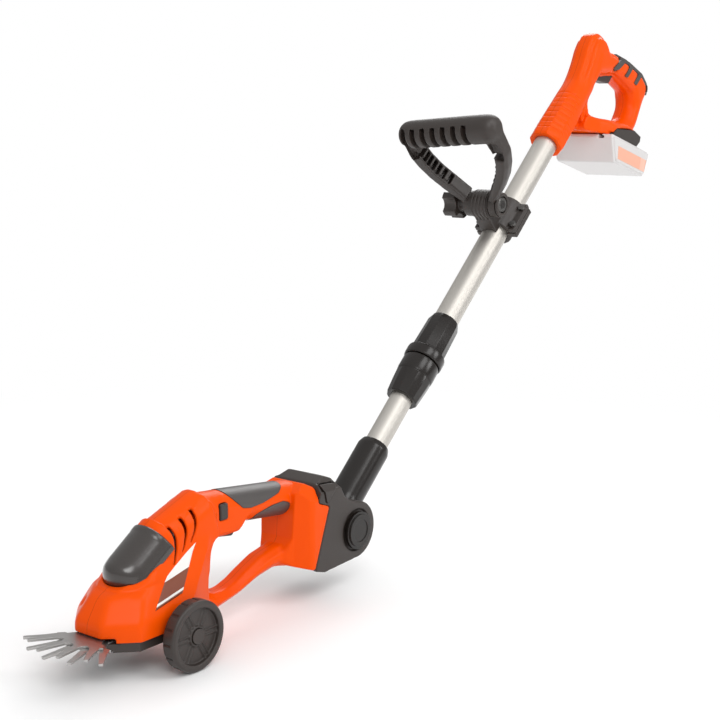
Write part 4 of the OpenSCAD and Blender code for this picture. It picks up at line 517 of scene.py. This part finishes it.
def showPiece(name, mesh, body, finish, replaced, triangles=None, smooth=True):
    if triangles and len(mesh.polygons) * 2 > triangles:
        mesh = changedMesh(mesh, name, "thin", "DECIMATE", ratio=triangles / (len(mesh.polygons) * 2))
    mesh.polygons.foreach_set("use_smooth", [smooth] * len(mesh.polygons))
    mesh.materials.clear()
    mesh.materials.append(finish)
    piece = bpy.data.objects.new(name, mesh)
    scene.collection.objects.link(piece)
    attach(piece, body)
    if replaced:
        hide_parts(*replaced)
    print(name, len(mesh.polygons), "faces")
    return piece


# moulded skins: CAD solids joined in an even mesh, with the soft edges of a moulding

relaxStep = 0.5    # share of the way to the neighbours' mean in one round


def relax(co, one, two, links, rounds, weight):
    count = len(co)
    for turn in range(rounds):
        mean = np.empty_like(co)
        for axis in range(3):
            total = np.bincount(one, co[two, axis], count) + np.bincount(two, co[one, axis], count)
            mean[:, axis] = total / links
        co = co + weight * (mean - co)
    return co


# first the zones that the mould rounds off more, then some rounds over the whole piece
def softenMesh(mesh, rounds, zones):
    count = len(mesh.vertices)
    co = readPoints(mesh)
    ends = np.empty(len(mesh.edges) * 2, dtype=np.int64)
    mesh.edges.foreach_get("vertices", ends)
    one, two = ends[0::2], ends[1::2]
    links = np.maximum(np.bincount(one, minlength=count) + np.bincount(two, minlength=count), 1)
    for zoneRounds, zone in zones:
        co = relax(co, one, two, links, zoneRounds, relaxStep * zone(co)[:, None])
    co = relax(co, one, two, links, rounds, relaxStep)
    mesh.vertices.foreach_set("co", co.ravel())
    mesh.update()


def reshape(mesh, form):
    formed = form(readPoints(mesh), readPoints(mesh, "normal"))
    mesh.vertices.foreach_set("co", formed.ravel())
    mesh.update()


def mouldedSkin(name, look, zones=(), form=None):
    even = changedMesh(joinNodes(look["nodes"]), name, "even", "REMESH", mode="VOXEL",
                       voxel_size=look["voxel"], use_smooth_shade=True)
    softenMesh(even, look["rounds"], zones)
    if form:
        reshape(even, form)
    return showPiece(name, even, look["body"], look["finish"], look["nodes"], look["triangles"])


# slot and finish that several skins share
orangeSkin = {"slot": "orange_shell", "finish": orangeShell}
darkSkin = {"slot": "dark_plastic", "finish": darkPlastic}

# the head: nose, lower strut, hump and shoulder are rounded off most, clear of window, lock-off and trigger
headSkin = {**orangeSkin, "nodes": ["head_shell_left", "head_shell_right"], "body": "head",
            "voxel": 0.0006, "rounds": 3, "triangles": 110000}
headSoft = {"keep": ["nose_window", "head_lock_off", "head_trigger"], "keepClear": 0.002, "zones": [
    {"low": (-0.075, -0.05, 0.0355), "high": (0.004, 0.05, 0.084), "fade": 0.006, "rounds": 110},
    {"low": (0.040, -0.03, 0.010), "high": (0.150, 0.03, 0.062), "fade": 0.006, "rounds": 90},
    {"low": (0.006, -0.0115, 0.100), "high": (0.070, 0.0115, 0.140), "fade": 0.003, "rounds": 60},
    {"low": (0.042, -0.04, 0.060), "high": (0.074, 0.04, 0.118), "fade": 0.006, "rounds": 40}]}
# the window's own frame: start of its slope and the slope's direction in the XZ plane
windowFrame = {"start": (-0.04685, 0.0788), "along": (0.8259, 0.5638)}
# the lip round the window: a raised band in front of it, and a rim pressed to one line beside it
lipForm = {"radius": 0.0206, "centre": 0.0190, "wide": 0.0060, "rise": 0.0009, "riseIn": (-0.0002, 0.0008),
           "riseOut": 0.75, "fadeAlong": (0.026, 0.038), "facing": (0.15, 0.45), "lowest": (-0.045, -0.040),
           "rimAlong": (0.008, 0.014, 0.038, 0.048), "rimAbove": (-0.0140, -0.0158, -0.0194, -0.0205),
           "rimIn": (-0.0030, -0.0020), "rimOut": (0.0030, 0.0055), "rimShare": 0.92}


def headLip(co, out):
    ox, oz = windowFrame["start"]
    sx, sz = windowFrame["along"]
    along = (co[:, 0] - ox) * sx + (co[:, 2] - oz) * sz
    above = (co[:, 2] - oz) * sx - (co[:, 0] - ox) * sz
    facing = out[:, 2] * sx - out[:, 0] * sz
    off = np.hypot(np.maximum(lipForm["centre"] - along, 0), co[:, 1]) - lipForm["radius"]
    wide = lipForm["wide"]
    rise = smoothStep(off, *lipForm["riseIn"]) * (1 - smoothStep(off, lipForm["riseOut"] * wide, wide))
    rise *= (1 - smoothStep(along, *lipForm["fadeAlong"])) * smoothStep(facing, *lipForm["facing"])
    rise *= smoothStep(above, *lipForm["lowest"])
    level = np.interp(along, lipForm["rimAlong"], lipForm["rimAbove"])
    press = np.maximum(above - level, 0)
    press *= (along > lipForm["rimAlong"][0]) * (along < lipForm["rimAlong"][-1])
    onRim = smoothStep(off, *lipForm["rimIn"]) * (1 - smoothStep(off, *lipForm["rimOut"]))
    press *= onRim * lipForm["rimShare"]
    co = co.copy()
    co[:, 0] += press * sz
    co[:, 2] -= press * sx
    return co + lipForm["rise"] * rise[:, None] * out


def headZone(look):
    def zone(co):
        free = offNodes(co, headSoft["keep"], headSoft["keepClear"])
        return inBox(co, look["low"], look["high"], look["fade"]) * free
    return look["rounds"], zone


headShell = mouldedSkin("headShell", headSkin, [headZone(look) for look in headSoft["zones"]], headLip)

# the rear handle: collar and dock stay crisp, the column and the grip loop are rounded off
rearSkin = {**orangeSkin, "nodes": ["rear_shell_left", "rear_shell_right"], "body": "handle",
            "voxel": 0.0006, "rounds": 3, "triangles": 100000}
rearSoft = {"collarEnd": 0.566, "collarFade": 0.008, "foot": (0.68273, 0.0, 0.39929), "up": (0.242, 0.0, 0.970),
            "footClear": 0.010, "footFade": 0.006, "triggerClear": 0.007, "lockClear": 0.002, "padClear": 0.002,
            "padShare": 0.3, "rounds": 90, "loopFrom": -0.024, "loopFade": 0.008, "loopRounds": 190}
collarLook = {"flats": 8, "flatShare": 0.965, "flatFar": (0.0165, 0.0185), "flatEnd": (0.556, 0.574),
              "firstGroove": 0.5065, "pitch": 0.0078, "grooves": 8, "width": 0.0006, "deep": 0.0008,
              "facing": (0.12, 0.35)}


def rearZone(co):
    along = onPole(co)[0]
    above = (co - np.array(rearSoft["foot"])) @ np.array(rearSoft["up"])
    free = np.clip((along - rearSoft["collarEnd"]) / rearSoft["collarFade"], 0, 1)
    free = free * np.clip((above - rearSoft["footClear"]) / rearSoft["footFade"], 0, 1)
    free = free * offNodes(co, ["rear_trigger"], rearSoft["triggerClear"])
    free = free * offNodes(co, ["rear_lock_off"], rearSoft["lockClear"])
    offPad = offNodes(co, ["rear_grip_pad"], rearSoft["padClear"])
    return free * (rearSoft["padShare"] + (1 - rearSoft["padShare"]) * offPad)


def rearLoop(co):
    start = rearSoft["loopFrom"]
    return rearZone(co) * (1 - smoothStep(onPole(co)[1], start, start + rearSoft["loopFade"]))


def collarFlats(co, out):
    along, beside = onPole(co)
    side = co[:, 1]
    far = np.hypot(beside, side)
    half = math.pi / collarLook["flats"]
    turn = np.mod(np.arctan2(side, beside) + half, 2 * half) - half
    flat = collarLook["flatShare"] / np.cos(turn)
    onCollar = 1 - smoothStep(along, *collarLook["flatEnd"])
    flat = 1 + (flat - 1) * smoothStep(far, *collarLook["flatFar"]) * onCollar
    co = co + np.outer(beside * (flat - 1), np.array(poleFrame["above"]))
    co[:, 1] += side * (flat - 1)
    return collarGrooves(co, out)


def collarGrooves(co, out):
    step = (onPole(co)[0] - collarLook["firstGroove"]) / collarLook["pitch"]
    near = (step - np.round(step)) * collarLook["pitch"]
    inside = (np.round(step) >= 0) & (np.round(step) < collarLook["grooves"])
    facing = smoothStep(out @ np.array(poleFrame["above"]), *collarLook["facing"])
    deep = np.exp(-(near / collarLook["width"]) ** 2) * facing * inside
    return co - collarLook["deep"] * deep[:, None] * out


rearZones = [(rearSoft["rounds"], rearZone), (rearSoft["loopRounds"], rearLoop)]
mouldedSkin("rearShell", rearSkin, rearZones, collarFlats)

# loop handle: the bar runs into the arms in one sweep
loopSkin = {**darkSkin, "nodes": ["loop_handle"], "body": "loop",
            "voxel": 0.0005, "rounds": 3, "triangles": 90000}
loopSoft = {"bar": (0.4059, 0.4039), "endFrom": 0.040, "endFade": 0.006, "endReach": (0.022, 0.030),
            "endRounds": 50, "armSide": (0.014, 0.020), "armBar": (0.016, 0.020), "armEye": (0.014, 0.020),
            "armRounds": 45}


def fromAxis(co, axis):
    return np.hypot(co[:, 0] - axis[0], co[:, 2] - axis[1])


def loopEnds(co):
    side = smoothStep(np.abs(co[:, 1]), loopSoft["endFrom"], loopSoft["endFrom"] + loopSoft["endFade"])
    return side * (1 - smoothStep(fromAxis(co, loopSoft["bar"]), *loopSoft["endReach"]))


def loopNearArm(co):
    side = smoothStep(-co[:, 1], *loopSoft["armSide"])
    offBar = smoothStep(fromAxis(co, loopSoft["bar"]), *loopSoft["armBar"])
    return side * offBar * smoothStep(fromAxis(co, loopHinge), *loopSoft["armEye"])


mouldedSkin("loopHandle", loopSkin, [(loopSoft["endRounds"], loopEnds), (loopSoft["armRounds"], loopNearArm)])

# front of its clamp, with rings on the hub
clampSkin = {**darkSkin, "nodes": ["clamp_front"], "body": "handle",
             "voxel": 0.0005, "rounds": 3, "triangles": 30000}
hubForm = {"inner": 0.0095, "outer": 0.0165, "pitch": 0.0042, "width": 0.0007, "deep": 0.0008,
           "facing": (0.6, 0.85)}


def hubRings(co, out):
    away = np.stack([co[:, 0] - loopHinge[0], co[:, 2] - loopHinge[1]], axis=1)
    far = np.linalg.norm(away, axis=1)
    radial = (away[:, 0] * out[:, 0] + away[:, 1] * out[:, 2]) / np.maximum(far, 1e-6)
    near = co[:, 1] / hubForm["pitch"] - 0.5
    near = (near - np.round(near)) * hubForm["pitch"]
    deep = np.exp(-(near / hubForm["width"]) ** 2) * smoothStep(radial, *hubForm["facing"])
    deep *= (far > hubForm["inner"]) * (far < hubForm["outer"])
    return co - hubForm["deep"] * deep[:, None] * out


mouldedSkin("clampFront", clampSkin, (), hubRings)

# the pockets of pressed buttons stay a little wider than the softened walls would leave them
releaseRoom = {"buttons": ["release_button_left", "release_button_right"], "reach": 0.0080, "wider": 0.0007,
               "halfWidth": 0.0290}
latchRoom = {"buttons": ["battery_button"], "reach": 0.0080, "wider": 0.0011, "halfWidth": 0.0250}


def buttonRoom(look):
    def form(co, out):
        inside = 1 - offNodes(co, look["buttons"], look["reach"])
        inside = inside * (np.abs(co[:, 1]) < look["halfWidth"])
        return co - look["wider"] * inside[:, None] * out
    return form


skins = {
    "adapterBody": {**darkSkin, "nodes": ["adapter_left", "adapter_right"], "body": "adapter",
                    "voxel": 0.0006, "rounds": 3, "triangles": 60000, "room": releaseRoom},
    "pivotSocket": {"nodes": ["pivot_socket"], "body": "lower_pole", "slot": "dark_plastic",
                    "finish": glossDark, "voxel": 0.0006, "rounds": 4, "triangles": 20000},
    "clampRear": {**darkSkin, "nodes": ["clamp_rear"], "body": "handle",
                  "voxel": 0.0005, "rounds": 4, "triangles": 16000},
    "wingKnob": {**darkSkin, "nodes": ["wing_knob"], "body": "knob",
                 "voxel": 0.0004, "rounds": 6, "triangles": 12000},
    "batteryCase": {"nodes": ["battery_case", "battery_lid"], "body": "battery", "slot": "pale_case",
                    "finish": paleCase, "voxel": 0.0006, "rounds": 6, "triangles": 40000, "room": latchRoom},
    "wheelNear": {**darkSkin, "nodes": ["wheel_left"], "body": "wheel_l",
                  "voxel": 0.0005, "rounds": 2, "triangles": 40000},
    "wheelFar": {**darkSkin, "nodes": ["wheel_right"], "body": "wheel_r",
                 "voxel": 0.0005, "rounds": 2, "triangles": 40000},
}
for name, look in skins.items():
    mouldedSkin(name, look, (), buttonRoom(look["room"]) if "room" in look else None)
print("skins made")


# the drawn tubes: smooth round their turn, sharp at their ends
tubeForm = {"sharp": 0.6, "tubes": [("upperTube", "upper_tube", "handle"),
                                    ("lowerTube", "lower_tube", "lower_pole")]}
for name, node, body in tubeForm["tubes"]:
    tube = joinNodes([node])
    tube.set_sharp_from_angle(angle=tubeForm["sharp"])
    showPiece(name, tube, body, tubeAlu, [node])

# lock nut and collar sleeve: turned rings with moulded flats
gripForm = {"sharp": 0.30, "steps": 6}
nutForm = {"node": "lock_nut", "body": "nut", "flats": 12, "from": 0.1450, "rows": [    # along, radius, flats
    (0.0, 0.0113, 0), (0.0, 0.0152, 1), (0.0010, 0.0160, 1), (0.0140, 0.0172, 1), (0.0255, 0.0180, 1),
    (0.0268, 0.0176, 0), (0.0280, 0.0182, 0), (0.0300, 0.0185, 0), (0.0425, 0.0185, 0), (0.0442, 0.0181, 0),
    (0.0450, 0.0172, 0), (0.0450, 0.0138, 0), (0.0140, 0.0138, 0), (0.0140, 0.0113, 0)]}
sleeveForm = {"node": "collar_sleeve", "body": "handle", "flats": 10, "from": 0.1603, "rows": [
    (0.0, 0.0113, 0), (0.0, 0.0135, 0), (0.0300, 0.0135, 0), (0.0300, 0.0190, 0), (0.0312, 0.0196, 0),
    (0.0330, 0.0197, 0), (0.0390, 0.0197, 0), (0.0406, 0.0193, 0), (0.0412, 0.0170, 0), (0.0424, 0.0167, 1),
    (0.0440, 0.0169, 1), (0.0780, 0.0160, 1), (0.0812, 0.0150, 1), (0.0835, 0.0138, 0), (0.0835, 0.0126, 0),
    (0.0330, 0.0126, 0), (0.0330, 0.0113, 0)]}


def makeGrip(name, look):
    segments = look["flats"] * gripForm["steps"]
    half = math.pi / look["flats"]
    pin, along, above = (Vector(poleFrame[key]) for key in ("pin", "along", "above"))
    points, faces = [], []
    for run, radius, share in look["rows"]:
        for k in range(segments):
            turn = math.tau * k / segments
            off = (turn + half) % (2 * half) - half
            flat = math.cos(half) / math.cos(off)
            far = radius * (1 + share * (min(flat, 1.0) - 1))
            spot = pin + along * (look["from"] + run) + above * (far * math.cos(turn))
            points.append((spot.x, far * math.sin(turn), spot.z))
    for row in range(len(look["rows"])):
        one, two = row * segments, (row + 1) % len(look["rows"]) * segments
        for k in range(segments):
            after = (k + 1) % segments
            faces.append((one + k, one + after, two + after, two + k))
    mesh = closedMesh(name, points, faces)
    mesh.set_sharp_from_angle(angle=gripForm["sharp"])
    showPiece(name, mesh, look["body"], glossDark, [look["node"]])


makeGrip("lockNut", nutForm)
makeGrip("collarSleeve", sleeveForm)

# bolt of the loop handle: raised ring round the near eye, and a near-black hex disc on the bolt's head as
# painted shade of its hex socket
ringForm = {"face": -0.0206, "segments": 64, "profile": [    # radius, rise
    (0.0085, -0.0012), (0.0085, 0.0006), (0.0092, 0.0011), (0.0112, 0.0011), (0.0120, 0.0005),
    (0.0122, -0.0012)]}
socketShadeForm = {"face": -0.0214, "segments": 6, "profile": [
    (0.0, 0.0004), (0.0040, 0.0004), (0.0046, 0.0), (0.0046, -0.0010), (0.0, -0.0010)]}


def makeLathe(name, look, finish):
    segments = look["segments"]
    points, faces, rings = [], [], []
    for radius, rise in look["profile"]:
        count = segments if radius > 0 else 1
        rings.append([len(points) + k for k in range(count)])
        for k in range(count):
            turn = math.tau * k / segments
            points.append((loopHinge[0] + radius * math.cos(turn), look["face"] - rise,
                           loopHinge[1] + radius * math.sin(turn)))
    closed = rings + ([rings[0]] if len(rings[0]) > 1 else [])
    for one, two in zip(closed, closed[1:]):
        for k in range(segments):
            corners = [one[k % len(one)], one[(k + 1) % len(one)], two[(k + 1) % len(two)], two[k % len(two)]]
            faces.append(list(dict.fromkeys(corners)))
    showPiece(name, closedMesh(name, points, faces), "loop", finish, None, smooth=False)


makeLathe("eyeRing", ringForm, darkPlastic)
# the hex socket is not cut: its shade is painted by a near-black hex disc in the glossy dark finish
makeLathe("boltSocketShade", socketShadeForm, glossDark)


# smoked nose window: one full dome in the shell's opening, on a skirt with a bead
windowForm = {"front": -0.0021, "back": 0.0493, "radius": 0.0207, "drop": 0.0125, "top": 0.0008,
              "base": -0.0190, "rows": 64, "columns": 72, "firstRow": 0.00003, "crowd": 1.6,
              "skirt": -0.0270, "skirtIn": 0.0016, "skirtShare": 0.2, "skirtTop": 0.0012,
              "bead": 0.0009, "beadTop": 0.0010, "beadTurn": (1.22, 1.40),
              "rim": 0.0042, "rimEdge": 0.0004, "rimSide": 0.004, "rise": 0.0005, "riseRun": 0.02,
              "riseFrom": 0.4}


def windowRow(along):
    front, back, radius, base = (windowForm[key] for key in ("front", "back", "radius", "base"))
    part = min((along - front) / radius, 1)
    half = radius * math.sqrt(1 - (1 - part) ** 2)
    part = min((along - front) / windowForm["drop"], 1)
    high = base + (windowForm["top"] - base) * math.sqrt(1 - (1 - part) ** 2)
    slim = max(half - windowForm["skirtIn"], windowForm["skirtShare"] * half)
    bead = windowForm["bead"] * min(half / radius, 1)
    foot = [(slim, windowForm["skirt"]), (slim, base - windowForm["skirtTop"]),
            (half + bead, base - windowForm["beadTop"])]
    row = [(-side, above) for side, above in foot]
    for column in range(windowForm["columns"] + 1):
        turn = math.pi * (column / windowForm["columns"] - 0.5)
        edge = min(back - along, radius * (math.pi / 2 - abs(turn)) - windowForm["rimSide"])
        inner = smoothStep(np.array(edge), windowForm["rim"] - windowForm["rimEdge"], windowForm["rim"])
        rim = windowForm["rise"] * float(1 - inner)
        rim *= min(max((along - front) / windowForm["riseRun"] - windowForm["riseFrom"], 0), 1)
        flare = bead * float(smoothStep(np.array(abs(turn)), *windowForm["beadTurn"])) * math.copysign(1, turn)
        side = half * math.sin(turn) + flare
        row.append((side, base + (high - base) * math.cos(turn) + rim * math.cos(turn)))
    return row + foot[::-1]


def makeWindow():
    ox, oz = windowFrame["start"]
    sx, sz = windowFrame["along"]
    rows, length = windowForm["rows"], windowForm["back"] - windowForm["front"]
    points, faces = [], []
    for row in range(rows + 1):
        along = windowForm["front"] + windowForm["firstRow"] + length * (row / rows) ** windowForm["crowd"]
        for side, above in windowRow(along):
            points.append((ox + along * sx - above * sz, side, oz + along * sz + above * sx))
    wide = len(points) // (rows + 1)
    for row in range(rows):
        for column in range(wide - 1):
            first = row * wide + column
            faces.append((first, first + wide, first + wide + 1, first + 1))
    faces.append(tuple(range(wide)))
    faces.append(tuple(reversed(range(rows * wide, (rows + 1) * wide))))
    mesh = closedMesh("noseWindow", points, faces)
    showPiece("noseWindow", mesh, "head", darkWindow, ["nose_window"])


makeWindow()


# blank side label laid on the near side of the nose
labelForm = {"corners": [(-0.0273, 0.0522), (0.0033, 0.0574), (0.0303, 0.0889), (-0.0073, 0.0722)], "steps": 26,
             "proud": 0.00025, "thick": 0.0005, "castFrom": -0.08, "missed": -0.03}


def makeSideLabel():
    caster = BVHTree.FromPolygons([v.co.copy() for v in headShell.data.vertices],
                                  [tuple(face.vertices) for face in headShell.data.polygons])
    steps = labelForm["steps"]
    low, right, top, left = (Vector((x, 0, z)) for x, z in labelForm["corners"])
    points, faces = [], []
    for row in range(steps + 1):
        for column in range(steps + 1):
            side = low.lerp(left, row / steps)
            spot = side.lerp(right.lerp(top, row / steps), column / steps)
            hit = caster.ray_cast(Vector((spot.x, labelForm["castFrom"], spot.z)), Vector((0, 1, 0)))[0]
            points.append((spot.x, (hit.y if hit else labelForm["missed"]) - labelForm["proud"], spot.z))
    wide = steps + 1
    for row in range(steps):
        for column in range(steps):
            first = row * wide + column
            faces.append((first, first + 1, first + wide + 1, first + wide))
    mesh = bpy.data.meshes.new("sideLabel")
    mesh.from_pydata(points, [], faces)
    sheet = changedMesh(mesh, "sideLabel", "sheet", "SOLIDIFY", thickness=labelForm["thick"], offset=-1.0)
    showPiece("sideLabel", sheet, "head", sideLabelPrint, ["side_label"])


makeSideLabel()
print("window and label made")


# blades: the round gullets and slim teeth of the photograph, cut out of the plain combs
bladeForm = {"pivot": -0.0463, "step": 21.9, "root": 0.0400, "rootHalf": 0.0027, "tipHalf": 0.0014,
             "past": 0.004, "shoulder": 0.0360, "shoulderHalf": 0.0046, "slim": 0.0450, "arc": 14,
             "aside": 0.012, "through": 0.002}
combForm = {"node": "lower_blade", "body": "head", "teeth": 5, "tip": 0.0617}
knifeForm = {"node": "upper_blade", "body": "knife", "teeth": 4, "tip": 0.0587}


def toothPoint(turn, reach, side):
    x, y = math.cos(math.radians(turn)), math.sin(math.radians(turn))
    return Vector((x * reach - y * side, y * reach + x * side))


# what is cut away: a gullet between each two teeth, and the outside of the first and last tooth
def bladeOutlines(look):
    turns = [(k - (look["teeth"] - 1) / 2) * bladeForm["step"] for k in range(look["teeth"])]
    root, rootHalf, tipHalf, arc, shoulder, aside = (
        bladeForm[key] for key in ("root", "rootHalf", "tipHalf", "arc", "shoulder", "aside"))
    end = look["tip"] + bladeForm["past"]
    outlines = []
    for one, two in zip(turns, turns[1:]):
        start, stop = toothPoint(one, root, rootHalf), toothPoint(two, root, -rootHalf)
        middle, half = (start + stop) / 2, (start - stop) / 2
        inward = toothPoint((one + two) / 2, -half.length, 0)
        gullet = [middle + half * math.cos(math.pi * k / arc) + inward * math.sin(math.pi * k / arc)
                  for k in range(arc + 1)]
        outlines.append(gullet + [toothPoint(two, end, -tipHalf), toothPoint(one, end, tipHalf)])
    for turn, side in ((turns[0], -1), (turns[-1], 1)):
        edge = [(shoulder, bladeForm["shoulderHalf"]), (bladeForm["slim"], rootHalf), (end, tipHalf),
                (end, aside), (shoulder, aside)]
        outlines.append([toothPoint(turn, reach, side * off) for reach, off in edge])
    return outlines


def makeBlade(name, look):
    low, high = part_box(look["node"])
    points, faces = [], []
    for outline in bladeOutlines(look):
        count = len(outline)
        bottom = [len(points) + k for k in range(count)]
        top = [k + count for k in bottom]
        for level in (low[2] - bladeForm["through"], high[2] + bladeForm["through"]):
            points += [(bladeForm["pivot"] - point.x, -point.y, level) for point in outline]
        faces += [bottom, top]
        for k in range(count):
            after = (k + 1) % count
            faces.append((bottom[k], bottom[after], top[after], top[k]))
    cutter = bpy.data.objects.new(name + "Cutter", closedMesh(name + "Cutter", points, faces))
    scene.collection.objects.link(cutter)
    mesh = changedMesh(joinNodes([look["node"]]), name, "notch", "BOOLEAN", operation="DIFFERENCE",
                       solver="EXACT", object=cutter)
    bpy.data.objects.remove(cutter)
    showPiece(name, mesh, look["body"], bladeSteel, [look["node"]], smooth=False)


makeBlade("combBlade", combForm)
makeBlade("knifeBlade", knifeForm)
print("blades made")


# stage: pale floor, soft light, the photograph's camera

def seenDirectly(tree, x, y):
    path = addNode(tree, "ShaderNodeLightPath", x, y)
    rays = (path.outputs["Is Camera Ray"], path.outputs["Is Transmission Ray"])
    return mathNode(tree, "MAXIMUM", *rays, x + 200, y)


# away from the object the paper runs out into plain white
floorLook = {"colour": (0.93, 0.93, 0.93), "tone": 0.02, "rough": 0.85, "gloss": 0.05, "grain": 300.0,
             "drift": 3.0, "specular": 0.2, "reach": 30.0, "drop": 0.0004, "middle": (0.08, 0.0, 0.0),
             "plainTo": 0.42, "whiteFrom": 1.05}


def makeFloor():
    mesh = bpy.data.meshes.new("floor")
    reach = floorLook["reach"]
    corners = [(-reach, -reach, 0), (reach, -reach, 0), (reach, reach, 0), (-reach, reach, 0)]
    mesh.from_pydata(corners, [], [(0, 1, 2, 3)])
    floor = bpy.data.objects.new("floor", mesh)
    floor.location.z = -floorLook["drop"]
    scene.collection.objects.link(floor)
    material, tree, shader = startMaterial("floorPaper")
    grain = grainNode(tree, floorLook, -600, 100)
    dressShader(shader, grain, grain.outputs["Colour"])
    shader.inputs["Specular IOR Level"].default_value = floorLook["specular"]
    place = addNode(tree, "ShaderNodeTexCoord", -900, -500).outputs["Object"]
    away = vectorNode(tree, "DISTANCE", place, floorLook["middle"], -700, -500)
    fade = rangeNode(tree, away, floorLook["plainTo"], floorLook["whiteFrom"], -500, -500)
    fade.interpolation_type = "SMOOTHSTEP"
    white = addNode(tree, "ShaderNodeEmission", 0, -400)
    blend = addNode(tree, "ShaderNodeMixShader", 300, 0)
    share = mathNode(tree, "MULTIPLY", fade.outputs[0], seenDirectly(tree, -900, -800), -250, -600)
    wire(share, blend.inputs[0])
    wire(shader.outputs[0], blend.inputs[1])
    wire(white.outputs[0], blend.inputs[2])
    wire(blend.outputs[0], tree.nodes["Material Output"].inputs["Surface"])
    mesh.materials.append(material)


makeFloor()

# the room is bright above and on the photographer's side, dimmer beyond the object
lightLook = {"towards": (-0.50, -0.30, 0.81), "dim": 0.20, "bright": 0.84, "seen": 1.0}
lamps = {
    "keyLamp": {"place": (-1.3, -1.6, 1.9), "aim": (0.2, 0.0, 0.25), "size": 1.1, "watts": 20.0},
    "fillLamp": {"place": (1.3, -1.9, 1.1), "aim": (0.3, 0.0, 0.25), "size": 0.7, "watts": 8.0},
    "topLamp": {"place": (0.38, -1.45, 1.90), "aim": (0.2, 0.0, 0.15), "size": 0.9, "watts": 10.0},
    "backLamp": {"place": (2.0, 0.7, 1.6), "aim": (0.2, 0.0, 0.15), "size": 1.3, "watts": 20.0},
}


def makeLight():
    world = bpy.data.worlds.new("studio")
    world.use_nodes = True
    scene.world = world
    tree = world.node_tree
    back = tree.nodes["Background"]
    back.inputs["Color"].default_value = (1, 1, 1, 1)
    place = addNode(tree, "ShaderNodeTexCoord", -1000, -300).outputs["Generated"]
    lean = vectorNode(tree, "DOT_PRODUCT", place, lightLook["towards"], -800, -300)
    room = rangeNode(tree, lean, -1.0, 1.0, -600, -300)
    room.inputs["To Min"].default_value = lightLook["dim"]
    room.inputs["To Max"].default_value = lightLook["bright"]
    mix = addNode(tree, "ShaderNodeMix", -300, 0, data_type="FLOAT")
    mix.inputs[3].default_value = lightLook["seen"]    # value B; value A is input 2
    wire(seenDirectly(tree, -800, 0), mix.inputs["Factor"])
    wire(room.outputs[0], mix.inputs[2])
    wire(mix.outputs[0], back.inputs["Strength"])
    for name, look in lamps.items():
        lamp = bpy.data.lights.new(name, "AREA")
        lamp.shape = "SQUARE"
        lamp.size = look["size"]
        lamp.energy = look["watts"]
        holder = bpy.data.objects.new(name, lamp)
        holder.location = look["place"]
        aim = Vector(look["aim"]) - Vector(look["place"])
        holder.rotation_euler = aim.to_track_quat("-Z", "Y").to_euler()
        scene.collection.objects.link(holder)


makeLight()

# focal length and middle of the picture are in the photograph's pixels
cameraLook = {"place": (-0.7194, -0.7562, 0.41835), "azimuth": -52.47, "elevation": 9.64, "roll": 0.30,
              "focal": 1383.9, "middle": (359.5, 351.3), "picture": 720, "sensor": 36.0, "nearest": 0.01}


def makeCamera():
    turn, rise, roll = (math.radians(cameraLook[key]) for key in ("azimuth", "elevation", "roll"))
    back = Vector((math.sin(turn) * math.cos(rise), -math.cos(turn) * math.cos(rise), math.sin(rise)))
    right = Vector((math.cos(turn), math.sin(turn), 0))
    up = back.cross(right)
    across = right * math.cos(roll) + up * math.sin(roll)
    upright = up * math.cos(roll) - right * math.sin(roll)
    picture = cameraLook["picture"]
    lens = bpy.data.cameras.new("photoLens")
    lens.sensor_width = cameraLook["sensor"]
    lens.lens = cameraLook["focal"] / picture * cameraLook["sensor"]
    lens.shift_x = (picture / 2 - cameraLook["middle"][0]) / picture
    lens.shift_y = (cameraLook["middle"][1] - picture / 2) / picture
    lens.clip_start = cameraLook["nearest"]
    camera = bpy.data.objects.new("photoCamera", lens)
    turned = Matrix((across, upright, back)).transposed().to_4x4()
    camera.matrix_world = Matrix.Translation(cameraLook["place"]) @ turned
    scene.collection.objects.link(camera)
    scene.camera = camera


makeCamera()
scene.view_settings.view_transform = "Standard"
print("stage set")
